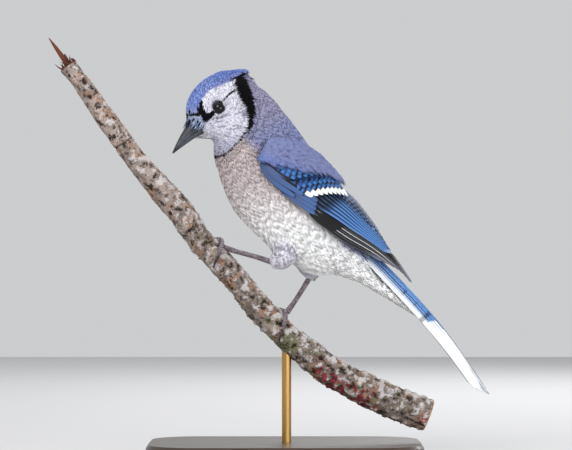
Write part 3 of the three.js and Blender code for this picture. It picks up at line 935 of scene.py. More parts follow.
    def on_shoulder(self, points: np.ndarray) -> np.ndarray:
        """Colours of the soft feathers over the top of the wing, bluer towards its edge."""
        low = smooth(196, 184, points[:, 2] + 0.35 * points[:, 0])
        return lay(linear(self.mantle), linear(self.scapular), low)

    def at(self, points: np.ndarray) -> np.ndarray:
        """Linear colours at points in millimetres.

        Args:
            points: Places in millimetres.

        Returns:
            Linear colours.
        """
        rng = np.random.default_rng(11)
        loose = points + rng.normal(0, 0.25, points.shape)
        straight = to_head(loose)
        behind = self.behind_collar(straight)
        # the body's colours are raised by the gain, which is painted light
        body = np.clip(self.on_body(loose) * self.painted_light_gain, 0, 0.98)
        tone = np.where(behind[:, None] < 0, self.on_head(straight, rng), body)
        far, share = self.near(self.seen(straight), self.collar)
        half = np.interp(share, np.linspace(0, 1, len(self.collar_half)), self.collar_half)
        return lay(tone, linear(self.black), smooth(half + 0.4, half - 0.4, far))


def closed_copy(name: str, nodes: tuple[str, ...], gap: float, voxel: float,
                smoothing: int) -> bpy.types.Mesh:
    """One closed, evenly meshed and softened copy of some CAD nodes.

    Args:
        name: The new mesh's name.
        nodes: The CAD nodes that are joined.
        gap: How far each node is swollen first, in millimetres, to close what lies between them.
        voxel: Size of the new faces, in millimetres.
        smoothing: How many times the copy is softened.

    Returns:
        The new mesh.
    """
    joined = bmesh.new()
    for node in nodes:
        part = bmesh.new()
        part.from_mesh(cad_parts[node].data)
        bmesh.ops.remove_doubles(part, verts=part.verts, dist=0.02 * MM)
        part.normal_update()
        for v in part.verts:
            v.co += v.normal * gap * MM
        copy = ended(part, "part")
        joined.from_mesh(copy)
        bpy.data.meshes.remove(copy)
    mesh = ended(joined, f"{name}_work")
    holder = bpy.data.objects.new(f"{name}_work", mesh)
    bpy.context.scene.collection.objects.link(holder)
    remesh = holder.modifiers.new("Close", "REMESH")
    remesh.mode, remesh.voxel_size = "VOXEL", voxel * MM
    soften = holder.modifiers.new("Soften", "SMOOTH")
    soften.iterations, soften.factor = smoothing, 0.5
    bpy.context.view_layer.update()
    solid = holder.evaluated_get(bpy.context.evaluated_depsgraph_get())
    made = bpy.data.meshes.new_from_object(solid)
    bpy.data.objects.remove(holder)
    bpy.data.meshes.remove(mesh)
    made.name = name
    return made


@dataclass
class Skin:
    """One skin in place of the nodes of flesh, inside them by the depth of the coat."""

    nodes: tuple = ("head", "neck", "torso", "rump", "tail_coverts", "thigh_left", "thigh_right")
    close_gap: float = 1.5
    voxel: float = 0.9
    smoothing: int = 14
    face_depth: float = 0.5
    body_depth: float = 2.0
    thigh_depth: float = 0.6
    tree: BVHTree | None = None
    mesh: bpy.types.Mesh | None = None
    points: np.ndarray | None = None
    normals: np.ndarray | None = None

    def depth(self, points: np.ndarray) -> np.ndarray:
        """How deep the skin lies under the solids, in millimetres.

        Args:
            points: Places on the joined solids, in millimetres.

        Returns:
            One depth a point.
        """
        behind = Markings().behind_collar(to_head(points))
        full = self.face_depth + (self.body_depth - self.face_depth) * smooth(-12, 25, behind)
        near = thigh_gap(points)
        thin = self.thigh_depth + (full - self.thigh_depth) * smooth(8, 14, near)
        return np.where(near < 14, thin, full)

    def build(self) -> None:
        """Joins, closes and smooths copies of the nodes, and sinks them by the coat's depth."""
        self.mesh = closed_copy("Skin", self.nodes, self.close_gap, self.voxel, self.smoothing)
        points, self.normals = read_points(self.mesh)
        self.points = points - self.normals * (self.depth(points) + self.close_gap)[:, None]
        move_points(self.mesh, self.points)
        # the skin's colours are darkened by a tenth, painted shade under the coat
        store_colours(self.mesh, Markings().at(self.points) * 0.9)
        piece = mesh_object("Skin", self.mesh, PlumageFinish().material())
        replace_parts(piece, *self.nodes)
        shade_round(self.mesh)
        self.tree = BVHTree.FromPolygons([Vector(p) for p in self.points],
                                         [list(face.vertices) for face in self.mesh.polygons])


@dataclass
class Bill:
    """The closed bill: an upper and a lower half that meet along the mouth line."""

    ridge: list = field(default_factory=lambda: [
        [-59.5, 219.3], [-63.3, 215.2], [-65.6, 211.6], [-68.3, 206.9], [-71, 201.6], [-73.3, 196.5]])
    mouth: list = field(default_factory=lambda: [
        [-50.9, 6.8, 212.6], [-56.2, 5.5, 210.8], [-60.3, 4.2, 208.7], [-65, 2.7, 204.8],
        [-69.5, 1.4, 200.4], [-73.2, 0.12, 196.4]])
    keel: list = field(default_factory=lambda: [
        [-50.5, 209.8], [-56, 207.4], [-60.3, 204.9], [-65, 201.6], [-69, 198.8], [-72.4, 196.2]])
    rings: int = 40
    columns: int = 24

    def half(self, upper: bool) -> np.ndarray:
        """Rings of points of the turned upper or lower half.

        Args:
            upper: Whether it is the upper half.

        Returns:
            Points by ring and place round it.
        """
        t = np.linspace(0, 1, self.rings)
        crest = Course(self.ridge if upper else self.keel).at(t)
        edge = Course(self.mouth).at(t if upper else t * 0.97)
        turn = np.linspace(-math.pi / 2, math.pi / 2, self.columns)
        rise = np.cos(turn) ** 0.85
        x = edge[:, :1] + (crest[:, :1] - edge[:, :1]) * rise
        z = edge[:, 2:] + (crest[:, 1:] - edge[:, 2:]) * rise + (0.0 if upper else 0.12)
        y = edge[:, 1:2] * (1.0 if upper else 0.88) * np.sin(turn)
        return from_head(np.stack([x, y, z], -1).reshape(-1, 3)).reshape(self.rings, self.columns, 3)

    def build(self) -> list[BVHTree]:
        """Builds both halves and returns their search trees.

        Returns:
            The search trees of the upper and the lower half.
        """
        horn = HornFinish("Slate_Bill", (0.1, 0.105, 0.125), (0.3, 0.315, 0.36)).material()
        trees = []
        for label in ("upper", "lower"):
            mesh = loft(f"Bill_{label}", self.half(label == "upper"))
            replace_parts(mesh_object(f"Bill_{label}", mesh, horn), f"bill_{label}")
            trees.append(tree_of(mesh))
        return trees


@dataclass
class Eyes:
    """The two wet eyes, each in its dark lid."""

    opening: float = 3.3
    lid: float = 0.36
    round_eye: int = 64
    round_lid: int = 10

    def build(self) -> None:
        """Builds both eyes and both lids."""
        lid_skin = HornFinish("Lid_Skin", (0.02, 0.02, 0.025), (0.1, 0.1, 0.115), 0.5).material()
        for side, sign in (("left", 1), ("right", -1)):
            place = np.array([EYE_PLACE * [1, sign, 1], (EYE_PLACE + [-0.3, -1, 0]) * [1, sign, 1]])
            centre, ahead = from_head(place)
            out = unit(ahead - centre)
            ball = bmesh.new()
            bmesh.ops.create_uvsphere(ball, u_segments=48, v_segments=32, radius=EYE_RADIUS * MM)
            bmesh.ops.translate(ball, verts=ball.verts, vec=Vector(centre) * MM)
            mesh = ended(ball, f"Eye_{side}", rounded=True)
            wet = EyeFinish(tuple(out), tuple(centre * MM)).material(f"Wet_Eye_{side}")
            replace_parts(mesh_object(f"Eye_{side}", mesh, wet), f"eye_{side}")
            mesh = self.lids(side, centre, out)
            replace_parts(mesh_object(f"Lid_{side}", mesh, lid_skin), f"eye_{side}")

    def lids(self, side: str, centre: np.ndarray, out: np.ndarray) -> bpy.types.Mesh:
        """One ring of lid, drawn out a little at its front and rear corners.

        Args:
            side: The eye's side, "left" or "right".
            centre: The eye's centre.
            out: Direction that the eye looks in.

        Returns:
            The ring's mesh.
        """
        up = np.array([0.0, 0.0, 1.0])
        back = unit(np.cross(up, out)) * (1 if side == "left" else -1)
        turns = [np.linspace(0, 2 * math.pi, n, endpoint=False) for n in (self.round_eye, self.round_lid)]
        turn, tube = np.meshgrid(*turns, indexing="ij")
        radial = np.cos(turn)[..., None] * back + np.sin(turn)[..., None] * up
        wide = self.opening + 0.35 * np.abs(np.cos(turn)) ** 8
        thick = self.lid * (1 + 0.4 * np.abs(np.cos(turn)) ** 6)
        seat = math.sqrt(EYE_RADIUS**2 - self.opening**2)
        ring = centre + out * seat + radial * wide[..., None]
        ring = ring + thick[..., None] * (np.cos(tube)[..., None] * radial + np.sin(tube)[..., None] * out)
        m, n = self.round_eye, self.round_lid
        i, j = np.meshgrid(np.arange(m), np.arange(n), indexing="ij")
        a, b = (i + 1) % m, (j + 1) % n
        faces = np.stack([i * n + j, a * n + j, a * n + b, i * n + b], -1).reshape(-1, 4)
        rough = mesh_from("lid", ring.reshape(-1, 3), faces)
        bm = bmesh.new()
        bm.from_mesh(rough)
        bpy.data.meshes.remove(rough)
        return ended(bm, f"Lid_{side}", outward=True, rounded=True)


@dataclass(frozen=True)
class Zone:
    """One part of the coat, and the form of its feathers as shares of their length."""

    label: str
    slot: str
    node: str = "torso"
    barbs: int = 9
    contrast: float = 0.25
    ridge: float = 0.36
    lift: float = 0.08
    width: float = 0.48
    # painted light: a gain on the zone's colours that makes up for shade on the down-facing belly
    painted_light_gain: float = 1.22


@dataclass(frozen=True)
class Bristles:
    """Stiff little feathers that lie forward over the base of the bill, on both sides.

    The rows are their root line on the straight head's left side, from the middle outwards, the
    way is where they point, and the reach is their shortest and longest length in millimetres.
    """

    label: str
    rows: tuple
    way: tuple
    count: int
    reach: tuple
    colours: tuple


NASAL = Bristles("Nasal_Bristles",
                 ((-63.4, 0, 218.4), (-61.4, -3.2, 218), (-58.4, -5.6, 216), (-55, -7.2, 214.2)),
                 (-0.54, 0, -0.84), 110, (4.2, 6.4),
                 ((0.5, 0.55, 0.68), (0.62, 0.68, 0.8), (0.72, 0.76, 0.85), (0.08, 0.08, 0.12)))
CHIN = Bristles("Chin_Bristles", ((-50.2, 0, 205.8), (-50.6, -2.5, 206.4), (-51.2, -4.6, 208)),
                (-0.98, 0, 0.08), 50, (4.5, 7), ((0.88, 0.88, 0.91), (0.95, 0.95, 0.96), (0.7, 0.69, 0.74)))


@dataclass
class Coat:
    """The small feathers over the skin, laid from bill to tail."""

    skin: Skin
    bill: list[BVHTree]
    steps: int = 3
    density: float = 0.215
    seed: int = 21
    small: float = 5.2
    zone_ends: tuple = (0.36, 0.62)
    zones: tuple = (Zone("Head", "plumage_head", "head", 5, 0.9, 0.5, 0.14, 0.42, 1.0),
                    Zone("Breast", "plumage_body"), Zone("Belly", "plumage_body"),
                    Zone("Rump", "plumage_white"))

    def length(self, points: np.ndarray) -> np.ndarray:
        """Length of the small feathers, in millimetres.

        Args:
            points: Places of the roots, in millimetres.

        Returns:
            One length a root.
        """
        straight = to_head(points)
        behind = Markings().behind_collar(straight)
        face = 1.5 + 0.12 * np.linalg.norm(straight - GAPE, axis=1)
        side = straight.copy()
        side[:, 1] = -np.abs(side[:, 1])
        face *= 0.55 + 0.45 * smooth(4, 10, np.linalg.norm(side - EYE_PLACE, axis=1))
        share = Course(BODY_AXIS).nearest(points)[0]
        body = np.interp(share, [0, 0.2, 0.45, 0.7, 1], [5, 6.5, 9, 11, 12])
        body = np.where(thigh_gap(points) < 10, 6.5, body)
        hold = smooth(-3, 8, behind)
        return np.clip(face, 1.2, 5.5) * (1 - hold) + body * hold

    def flow(self, points: np.ndarray, normals: np.ndarray) -> np.ndarray:
        """Direction that the feathers lie in.

        Args:
            points: Places on the skin.
            normals: The skin's normals there.

        Returns:
            Directions of length one in the skin's surface.
        """
        straight = to_head(points)
        spread = unit(straight - GAPE) * [1, 0.45, 1]
        away = from_head(straight + spread) - points
        _, _, back = Course(BODY_AXIS).nearest(points)
        hold = smooth(-4, 8, Markings().behind_collar(straight))[:, None]
        way = unit(away) * (1 - hold) + back * hold
        rim = EYE_PLACE * np.stack([np.ones(len(points)), -np.sign(straight[:, 1]), np.ones(len(points))], 1)
        off = straight - rim
        close = smooth(8, 4, np.linalg.norm(off, axis=1))[:, None] * 1.6
        way = way + (from_head(straight + unit(off)) - points) * close
        for line in THIGHS:
            _, where, down = Course(line).nearest(points)
            near = smooth(11, 8, np.linalg.norm(points - where, axis=1))[:, None]
            way = way * (1 - near) + down * near
        way = way - normals * np.einsum("ij,ij->i", way, normals)[:, None]
        return unit(way)

    def scatter(self) -> tuple[np.ndarray, np.ndarray]:
        """Roots spread evenly over the skin, closer where the feathers are small.

        Returns:
            The roots and the skin's normals there.
        """
        mesh = self.skin.mesh
        mesh.calc_loop_triangles()
        corners = np.zeros(3 * len(mesh.loop_triangles), np.int32)
        mesh.loop_triangles.foreach_get("vertices", corners)
        faces = corners.reshape(-1, 3)
        p = self.skin.points[faces]
        area = np.linalg.norm(np.cross(p[:, 1] - p[:, 0], p[:, 2] - p[:, 0]), axis=1) / 2
        gap = self.length(p.mean(1))
        gap = np.where(gap < self.small, gap * self.density, 1.2 + (gap - self.small) * 0.07)
        weight = area / gap**2
        rng = np.random.default_rng(self.seed)
        pick = rng.choice(len(faces), int(weight.sum() * 2.0), p=weight / weight.sum())
        parts = rng.dirichlet((1, 1, 1), len(pick))[:, :, None]
        roots = (p[pick] * parts).sum(1)
        normals = unit((self.skin.normals[faces[pick]] * parts).sum(1))
        room = gap[pick] * 0.8
        tree = KDTree(len(roots))
        for i, root in enumerate(roots):
            tree.insert(root, i)
        tree.balance()
        kept = np.ones(len(roots), bool)
        for i, root in enumerate(roots):
            if kept[i]:
                for _, j, _ in tree.find_range(root, room[i]):
                    if j > i:
                        kept[j] = False
        return roots[kept], normals[kept]

    def clear(self, roots: np.ndarray, normals: np.ndarray) -> np.ndarray:
        """Which roots are free of the eyes, the bill, the wings and the tail.

        Args:
            roots: Places on the skin.
            normals: The skin's normals there.

        Returns:
            One truth value a root.
        """
        straight = to_head(roots)
        straight[:, 1] = -np.abs(straight[:, 1])
        free = np.linalg.norm(straight - EYE_PLACE, axis=1) > EYE_RADIUS
        cover = tree_of(*(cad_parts[name].data for name in ("wing_left", "wing_right", "tail")))
        for i in np.flatnonzero(free):
            root, up = Vector(roots[i]), Vector(normals[i])
            for half in self.bill:
                spot, face_up, _, _ = half.find_nearest(root, 6)
                if spot is not None and (root - spot).dot(face_up) < 0.1:
                    free[i] = False
            if not free[i]:
                continue
            hit = cover.ray_cast(root, up, 9)
            free[i] = hit[0] is None or root.x < -14
        return free

    def paths(self, roots: np.ndarray, normals: np.ndarray,
              length: np.ndarray) -> tuple[np.ndarray, np.ndarray]:
        """Lines over the skin from each root, each step laid back on the surface.

        Args:
            roots: Places on the skin.
            normals: The skin's normals there.
            length: Lengths of the feathers.

        Returns:
            Points and normals by feather and step.
        """
        lines, ups = [roots], [normals]
        for _ in range(self.steps):
            way = self.flow(lines[-1], ups[-1])
            goal = lines[-1] + way * (length / self.steps)[:, None]
            found = [self.skin.tree.find_nearest(g)[:2] for g in goal]
            lines.append(np.array([spot for spot, _ in found], float))
            ups.append(unit(np.array([up for _, up in found], float) + ups[-1]))
        return np.stack(lines, 1), np.stack(ups, 1)

    def over(self, goals: np.ndarray, lift: float) -> tuple[np.ndarray, np.ndarray]:
        """Places on the outermost of the skin and the bill, and the outward directions there.

        Args:
            goals: Places near the surface.
            lift: How far off the surface the places are moved.

        Returns:
            The places and the directions.
        """
        spots, ups = goals.copy(), goals.copy()
        for i, goal in enumerate(goals):
            near = [t.find_nearest(Vector(goal)) for t in (self.skin.tree, *self.bill)]
            spot, up, _, _ = min(near, key=lambda found: found[3])
            spots[i], ups[i] = spot + up * lift, up
        return spots, ups

    def laid_forward(self, bristles: Bristles) -> None:
        """Lays stiff little feathers forward over the base of the bill, on both sides.

        Args:
            bristles: Their piece's name, places, number and colours.
        """
        count = bristles.count
        rng = np.random.default_rng(count)
        share = np.tile(rng.random(count), 2)
        sign = np.repeat([-1.0, 1.0], count)[:, None]
        way = np.array(bristles.way)
        roots = Course(bristles.rows).at(share) - way * rng.uniform(0, 2.2, (2 * count, 1))
        roots = roots * np.concatenate([np.ones_like(sign), -sign, np.ones_like(sign)], 1)
        length = rng.uniform(*bristles.reach, 2 * count)
        turn = way + rng.normal(0, 0.12, (2 * count, 3))
        middle = from_head(np.array([[-58.0, 0, 212.5]]))
        laid = []
        for f in THIRDS:
            goal = from_head(roots + turn * (length * f)[:, None])
            laid.append(self.over(goal + unit(goal - middle) * 1.5, 0.15 + 0.5 * f))
        paths, normals = (np.stack(rows, 1) for rows in zip(*laid))
        tones = np.array([linear(c) for c in bristles.colours])
        pick = np.random.default_rng(1).integers(0, len(tones), len(paths))
        self.put_tufts(bristles.label, paths, normals, 1.3, 0.35,
                       lambda at: np.repeat(tones[pick], len(at) // len(pick), 0), barbs=4, seed=count)

    def put_tufts(self, name: str, paths: np.ndarray, normals: np.ndarray, width: float, lift: float,
                  colour_at: Callable[[np.ndarray], np.ndarray], slot: str = "plumage_head",
                  node: str = "head", **form: float) -> None:
        """Makes a piece of feathers that all have one width.

        Args:
            name: The piece's name.
            paths: Points by feather and step, in millimetres.
            normals: Outward directions there.
            width: Width of a feather, in millimetres.
            lift: How far its tip stands off, in millimetres.
            colour_at: Function from points to linear colours.
            slot: Not used.
            node: The CAD node that it replaces with others.
            form: More of the tufts' own values.
        """
        count = len(paths)
        tufts = Tufts(paths, normals, np.full(count, width), np.full(count, lift),
                      self.bake_places(paths[:, 0]), **form)
        mesh = tufts.build(name, colour_at)
        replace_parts(mesh_object(name, mesh, PlumageFinish().material()), node)

    def crest(self, count: int = 170) -> None:
        """Lays the long feathers of the crest back to one point.

        Args:
            count: How many feathers it has.
        """
        rng = np.random.default_rng(8)
        straight = to_head(self.skin.points)
        top = np.flatnonzero((straight[:, 0] > -44) & (straight[:, 0] < -27) & (straight[:, 2] > 240.5)
                             & (np.abs(straight[:, 1]) < 7))
        roots = straight[rng.choice(top, count)]
        tip = np.array([-23.2, 0, 249.2]) + rng.uniform(0, 1, (count, 1)) ** 2 * [-9, 0, -0.5]
        tip[:, 1] = roots[:, 1] * rng.uniform(0.1, 0.35, count) + rng.normal(0, 0.3, count)
        tip[:, 2] -= np.abs(tip[:, 1]) * 0.3 + rng.uniform(0, 0.5, count)
        f = np.array(THIRDS)[None, :, None]
        arch = np.sin(math.pi * f) * rng.uniform(0.4, 0.8, (count, 1, 1)) * [0, 0, 1]
        line = roots[:, None] * (1 - f) + tip[:, None] * f + arch
        line[:, 1:, 1] *= 1 - 0.3 * f[0, 1:, 0]
        up = unit(np.stack([line[..., 0] * 0, line[..., 1] * 0.16, line[..., 0] * 0 + 1], -1))
        paths = from_head(line.reshape(-1, 3)).reshape(line.shape)
        crown = linear(Markings().crown)
        self.put_tufts("Crest", paths, up, 2.2, 0.2, lambda at: np.tile(crown, (len(at), 1)), seed=9)

    def shoulder(self, wing: "Wing") -> None:
        """Lays soft feathers of the back over the top of each wing.

        Args:
            wing: The left wing, which gives the surface.
        """
        rng = np.random.default_rng(14)
        s, t = np.meshgrid(np.arange(-0.5, 2.75, 0.085), np.arange(-0.12, 1.04, 0.055), indexing="ij")
        s = s.ravel() + rng.normal(0, 0.03, s.size)
        t = t.ravel() + rng.normal(0, 0.02, t.size)
        run = rng.uniform(0.48, 0.66, s.size)
        edge = np.array([[-1, 1.2], [0.1, 0.75], [0.2, 0.35], [0.5, 0.25], [0.8, 0.38], [1.5, 0.5],
                         [1.95, 0.56], [2.24, 0.66], [2.9, 0.85], [3.4, 0.95], [3.7, 1.02]])
        keep = t > np.interp(s + run, edge[:, 0], edge[:, 1]) + rng.normal(0, 0.02, s.size)
        s, t, run = s[keep], t[keep], run[keep]
        laid = []
        for f in THIRDS:
            high = 1.5 + 0.9 * math.sin(math.pi * f) - 0.1 * f
            laid.append(wing.at(s + run * f, t - 0.03 * f, np.full(len(s), high)))
        paths, normals = (np.stack(rows, 1) for rows in zip(*laid))
        for label, side in (("Left", 1.0), ("Right", -1.0)):
            flip = np.array([1.0, side, 1.0])
            self.put_tufts(f"Shoulder_{label}", paths * flip, normals * flip, 3.8, 0.45,
                           Markings().on_shoulder, "plumage_body", "torso",
                           barbs=8, contrast=0.5, seed=15)

    def bake_places(self, roots: np.ndarray) -> np.ndarray:
        """Places of the roots on an unwrap of the skin, round the body and along it.

        Args:
            roots: Places of the roots, in millimetres.

        Returns:
            One place in the bake map a root.
        """
        share, where, way = Course(BODY_AXIS).nearest(roots)
        out = roots - where
        up = unit(np.cross(way, [0.0, 1.0, 0.0]))
        turn = np.arctan2(out[:, 1], np.einsum("ij,ij->i", out, up))
        straight = to_head(roots)
        head = Markings().behind_collar(straight) < 2
        away = straight - GAPE
        ring = np.arctan2(away[:, 1], away[:, 2])
        far = np.linalg.norm(away, axis=1) / 50
        u = np.where(head, ring, turn) / (2 * math.pi) + 0.5
        return np.clip(np.stack([u, np.where(head, far, share)], 1), 0.004, 0.996)

    def build(self) -> None:
        """Scatters the feathers and builds them piece by piece."""
        roots, normals = self.scatter()
        free = self.clear(roots, normals)
        roots, normals = roots[free], normals[free]
        length = self.length(roots) * np.random.default_rng(3).uniform(0.85, 1.2, len(roots))
        paths, ups = self.paths(roots, normals, length)
        places = self.bake_places(roots)
        share = Course(BODY_AXIS).nearest(roots)[0]
        head = Markings().behind_collar(to_head(roots)) < 2
        number = np.where(head, 0, 1 + np.digitize(share, self.zone_ends))
        finish = PlumageFinish().material()
        for z, zone in enumerate(self.zones):
            for side, sign in (("Left", -1), ("Right", 1)):
                mine = (number == z) & (np.sign(roots[:, 1] + 1e-6) == sign)
                low = smooth(0.45, 0.6, share[mine]) * smooth(0.0, -0.6, ups[mine, 0, 2])
                lift = length[mine] * (zone.lift + 0.06 * low)
                tufts = Tufts(paths[mine], ups[mine], length[mine] * zone.width, lift, places[mine],
                              barbs=zone.barbs, contrast=zone.contrast, ridge=zone.ridge,
                              seed=40 + 2 * z + (sign > 0))
                name = f"Coat_{zone.label}_{side}"
                mesh = tufts.build(name, Markings(painted_light_gain=zone.painted_light_gain).at)
                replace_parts(mesh_object(name, mesh, finish), zone.node)
                log.info("%s: %d feathers, %d triangles", name, mine.sum(), len(mesh.polygons))


class VaneKind(Enum):
    """Kinds of stiff feather, each with its own pattern."""

    PRIMARY = "primary"
    SECONDARY = "secondary"
    TERTIAL = "tertial"
    PRIMARY_COVERT = "primary covert"
    GREATER = "greater covert"
    MEDIAN = "median covert"
    LESSER = "lesser covert"
    TAIL = "tail"


@dataclass
class Vane:
    """One stiff feather: two webs either side of a shaft, closed, with its pattern stored in it."""

    kind: VaneKind
    place: Callable[[np.ndarray], tuple[np.ndarray, np.ndarray]]
    width: float
    length: float
    share: float = 0.0
    outer: float = 0.42
    camber: float = 0.02
    tilt: float = 0.08
    thick: float = 0.28
    columns: int = 11
    row_step: float = 0.75
    hand: int = 1

    def grid(self) -> tuple[np.ndarray, np.ndarray, np.ndarray, np.ndarray]:
        """Works out the closed form of the feather, row by row from its root.

        Returns:
            Points in millimetres, faces, linear colours, and places across and along the feather.
        """
        rows = max(10, int(self.length / self.row_step))
        t = np.linspace(0, 1, rows)
        spot, up = self.place(t)
        way = unit(np.gradient(spot, axis=0))
        side = unit(np.cross(up, way))
        up = unit(np.cross(way, side))
        form = np.sin(np.pi * np.clip(0.12 + 0.8 * t, 0, 1)) ** 0.35
        form = form * np.clip((1 - t) * self.length / (self.width * 0.42), 0, 1) ** 0.5
        form = form * np.clip(0.35 + t * 4, 0, 1)
        across = np.linspace(-1, 1, self.columns)
        reach = np.where(across < 0, self.outer * 2, 2 - self.outer * 2) * across
        half = (self.width / 2 * np.maximum(form, 0.03))[:, None]
        centre = spot[:, None] + side[:, None] * (reach * half)[..., None]
        sag = -self.camber * self.width * across**2 - self.tilt * (across + 1) * self.width / 2
        sag = sag + 0.1 * (np.abs(across) < 0.05)
        depth = self.thick * (1 - 0.75 * np.abs(across))
        top = centre + up[:, None] * (sag + depth / 2)[None, :, None]
        bottom = centre + up[:, None] * (sag - depth / 2)[None, :, None]
        ring = np.concatenate([top, bottom[:, ::-1]], 1)
        n = ring.shape[1]
        i, j = np.meshgrid(np.arange(rows - 1), np.arange(n), indexing="ij")
        k = (j + 1) % n
        faces = np.stack([i * n + j, i * n + k, (i + 1) * n + k, (i + 1) * n + j], -1).reshape(-1, 4)
        c = np.arange(self.columns - 1)
        root = np.stack([c, n - 1 - c, n - 2 - c, c + 1], 1)
        tip = root[:, ::-1] + (rows - 1) * n
        faces = np.concatenate([faces, root, tip])
        v = np.concatenate([across, across[::-1]])
        vv, tt = np.meshgrid(v, t)
        below = np.zeros_like(vv, bool)
        below[:, self.columns:] = True
        colours = self.colour(tt.ravel(), vv.ravel() * self.hand, below.ravel())
        flat = np.stack([vv.ravel(), tt.ravel() * self.length], 1)
        return ring.reshape(-1, 3), faces, colours, flat

    def colour(self, t: np.ndarray, v: np.ndarray, below: np.ndarray) -> np.ndarray:
        """Pattern of the feather.

        Args:
            t: Shares from root to tip.
            v: Places across from -1 at the outer edge to 1 at the inner.
            below: Where the point is on the underside.

        Returns:
            Linear colours.
        """
        mm = t * self.length
        left = self.length - mm
        bright, deep = linear((0.22, 0.43, 0.7)), linear((0.09, 0.18, 0.42))
        pale = linear((0.5, 0.66, 0.85))
        black, white = linear((0.012, 0.014, 0.03)), linear((0.96, 0.965, 0.98))
        violet, grey = linear((0.27, 0.34, 0.5)), linear((0.4, 0.4, 0.46))
        ones = np.ones((len(t), 1))
        shaft = smooth(0.16, 0.06, np.abs(v))
        inner = smooth(0.05, 0.3, v)
        if self.kind is VaneKind.PRIMARY:
            tone = lay(ones * black, grey * 1.3, smooth(0.72, 0.95, t) * 0.8)
            edge = smooth(-0.78, -0.88, v) * (1.0 if round(self.share * 6) in (2, 4) else 0.12)
            tone = lay(tone, white, edge * smooth(0.95, 0.7, t))
        elif self.kind is VaneKind.SECONDARY:
            tone = lay(ones * bright, pale, smooth(-0.6, -0.75, v) * 0.35)
            tone = lay(tone, deep, smooth(-0.7, -0.45, v) * 0.6)
            tone = lay(tone, black, smooth(-0.58, -0.48, v))
            tone = lay(tone, black, smooth(18, 9, mm) * 0.7)
            bars = smooth(0.3, 0.6, np.sin(mm * 2 * math.pi / 2.6)) * smooth(0.6, 0.95, self.share)
            tone = lay(tone, black, bars * 0.7)
            tone = lay(tone, white, smooth(6, 4, left) * self.share)
        elif self.kind is VaneKind.TERTIAL:
            tone = lay(ones * bright, deep, 0.45 + inner * 0.3)
            bars = smooth(-0.55, -0.1, np.sin(mm * 2 * math.pi / 3.0 + 0.8 * np.abs(v)))
            tone = lay(tone, black, np.maximum(bars, shaft * 0.9))
            tone = lay(tone, pale, smooth(0.6, 0.9, v) * 0.8 * (1 - 0.6 * bars))
            tone = lay(tone, white, smooth(5, 3.6, left + 2.5 * np.abs(v)))
        elif self.kind is VaneKind.GREATER:
            tone = lay(ones * bright, deep, smooth(-0.2, 0.3, v) * 0.7)
            bars = smooth(0.2, 0.5, np.sin((left - 6.4) * 2 * math.pi / 3.6 + 1.4))
            tone = lay(tone, black, np.maximum(bars, shaft * 0.4))
            tone = lay(tone, white, smooth(6.0, 5.5, left))
        elif self.kind is VaneKind.MEDIAN:
            tone = lay(ones * bright, deep, smooth(-0.2, 0.3, v) * 0.6)
            bars = smooth(0.35, 0.6, np.sin((left - 1.2) * 2 * math.pi / 3.8 + 1.4))
            tone = lay(tone, black, np.maximum(bars * 0.95, shaft * 0.3))
        elif self.kind is VaneKind.PRIMARY_COVERT:
            tone = lay(ones * violet, bright, smooth(0.3, 0.9, t) * 0.35)
            tone = lay(tone, black, smooth(0.3, 0.6, v) * smooth(0.4, 0.65, t))
            tone = lay(tone, black, np.maximum(smooth(1.3, 0.7, left) * 0.85, smooth(-0.8, -0.95, v) * 0.35))
        elif self.kind is VaneKind.LESSER:
            tone = lay(ones * violet, bright, 0.35)
            tone = lay(tone, black, shaft * 0.25)
        else:
            tone = self.tail_colour(mm, left, v, shaft)
        under = lay(ones * grey * 1.15, white, ones * 0.55)
        if self.kind is not VaneKind.TAIL:
            under = lay(under, grey, ones * 0.6)
        return np.where(below[:, None], under, tone)

    def tail_colour(self, mm: np.ndarray, left: np.ndarray, v: np.ndarray,
                    shaft: np.ndarray) -> np.ndarray:
        """Pattern of a tail feather: blue and barred, the outer ones with long white tips.

        Args:
            mm: Millimetres from the root.
            left: Millimetres to the tip.
            v: Places across from -1 at the outer edge to 1 at the inner.
            shaft: Amount of the shaft's dark line.

        Returns:
            Linear colours.
        """
        bright, pale = linear((0.34, 0.52, 0.76)), linear((0.58, 0.73, 0.9))
        black, white = linear((0.03, 0.03, 0.045)), linear((0.96, 0.965, 0.975))
        tone = lay(np.ones((len(mm), 1)) * bright, pale, smooth(-0.3, -0.95, v) * 0.6)
        bars = smooth(0.86, 0.95, np.sin(mm * 2 * math.pi / 9.5)) * smooth(45, 60, mm) * smooth(-0.2, -0.5, v)
        fine = smooth(0.8, 0.9, np.sin(mm * 2 * math.pi / 4.8)) * smooth(0.0, 0.3, v)
        bars = np.maximum(bars, fine * (self.share < 0.3))
        tone = lay(tone, black, np.maximum(bars, shaft * 0.5))
        if self.share > 0.05:
            tone = lay(tone, white, smooth(0.1, 0.7, self.share) * smooth(-0.1, -0.4, v) * 0.9)
            tip = 16 + 26 * self.share
            tone = lay(tone, black, smooth(tip + 5, tip + 4, left) * smooth(tip + 1, tip + 2, left) * 0.6)
            tone = lay(tone, white, smooth(tip, tip - 1.5, left + 2 * np.abs(v)))
            tone = lay(tone, black, smooth(-0.9, -0.97, v) * 0.5 * smooth(80, 100, mm))
        else:
            tone = lay(tone, white, smooth(34, 28, left + 4 * v) * 0.75)
            tone = lay(tone, black, smooth(3.5, 2.5, left) * 0.5)
        return tone


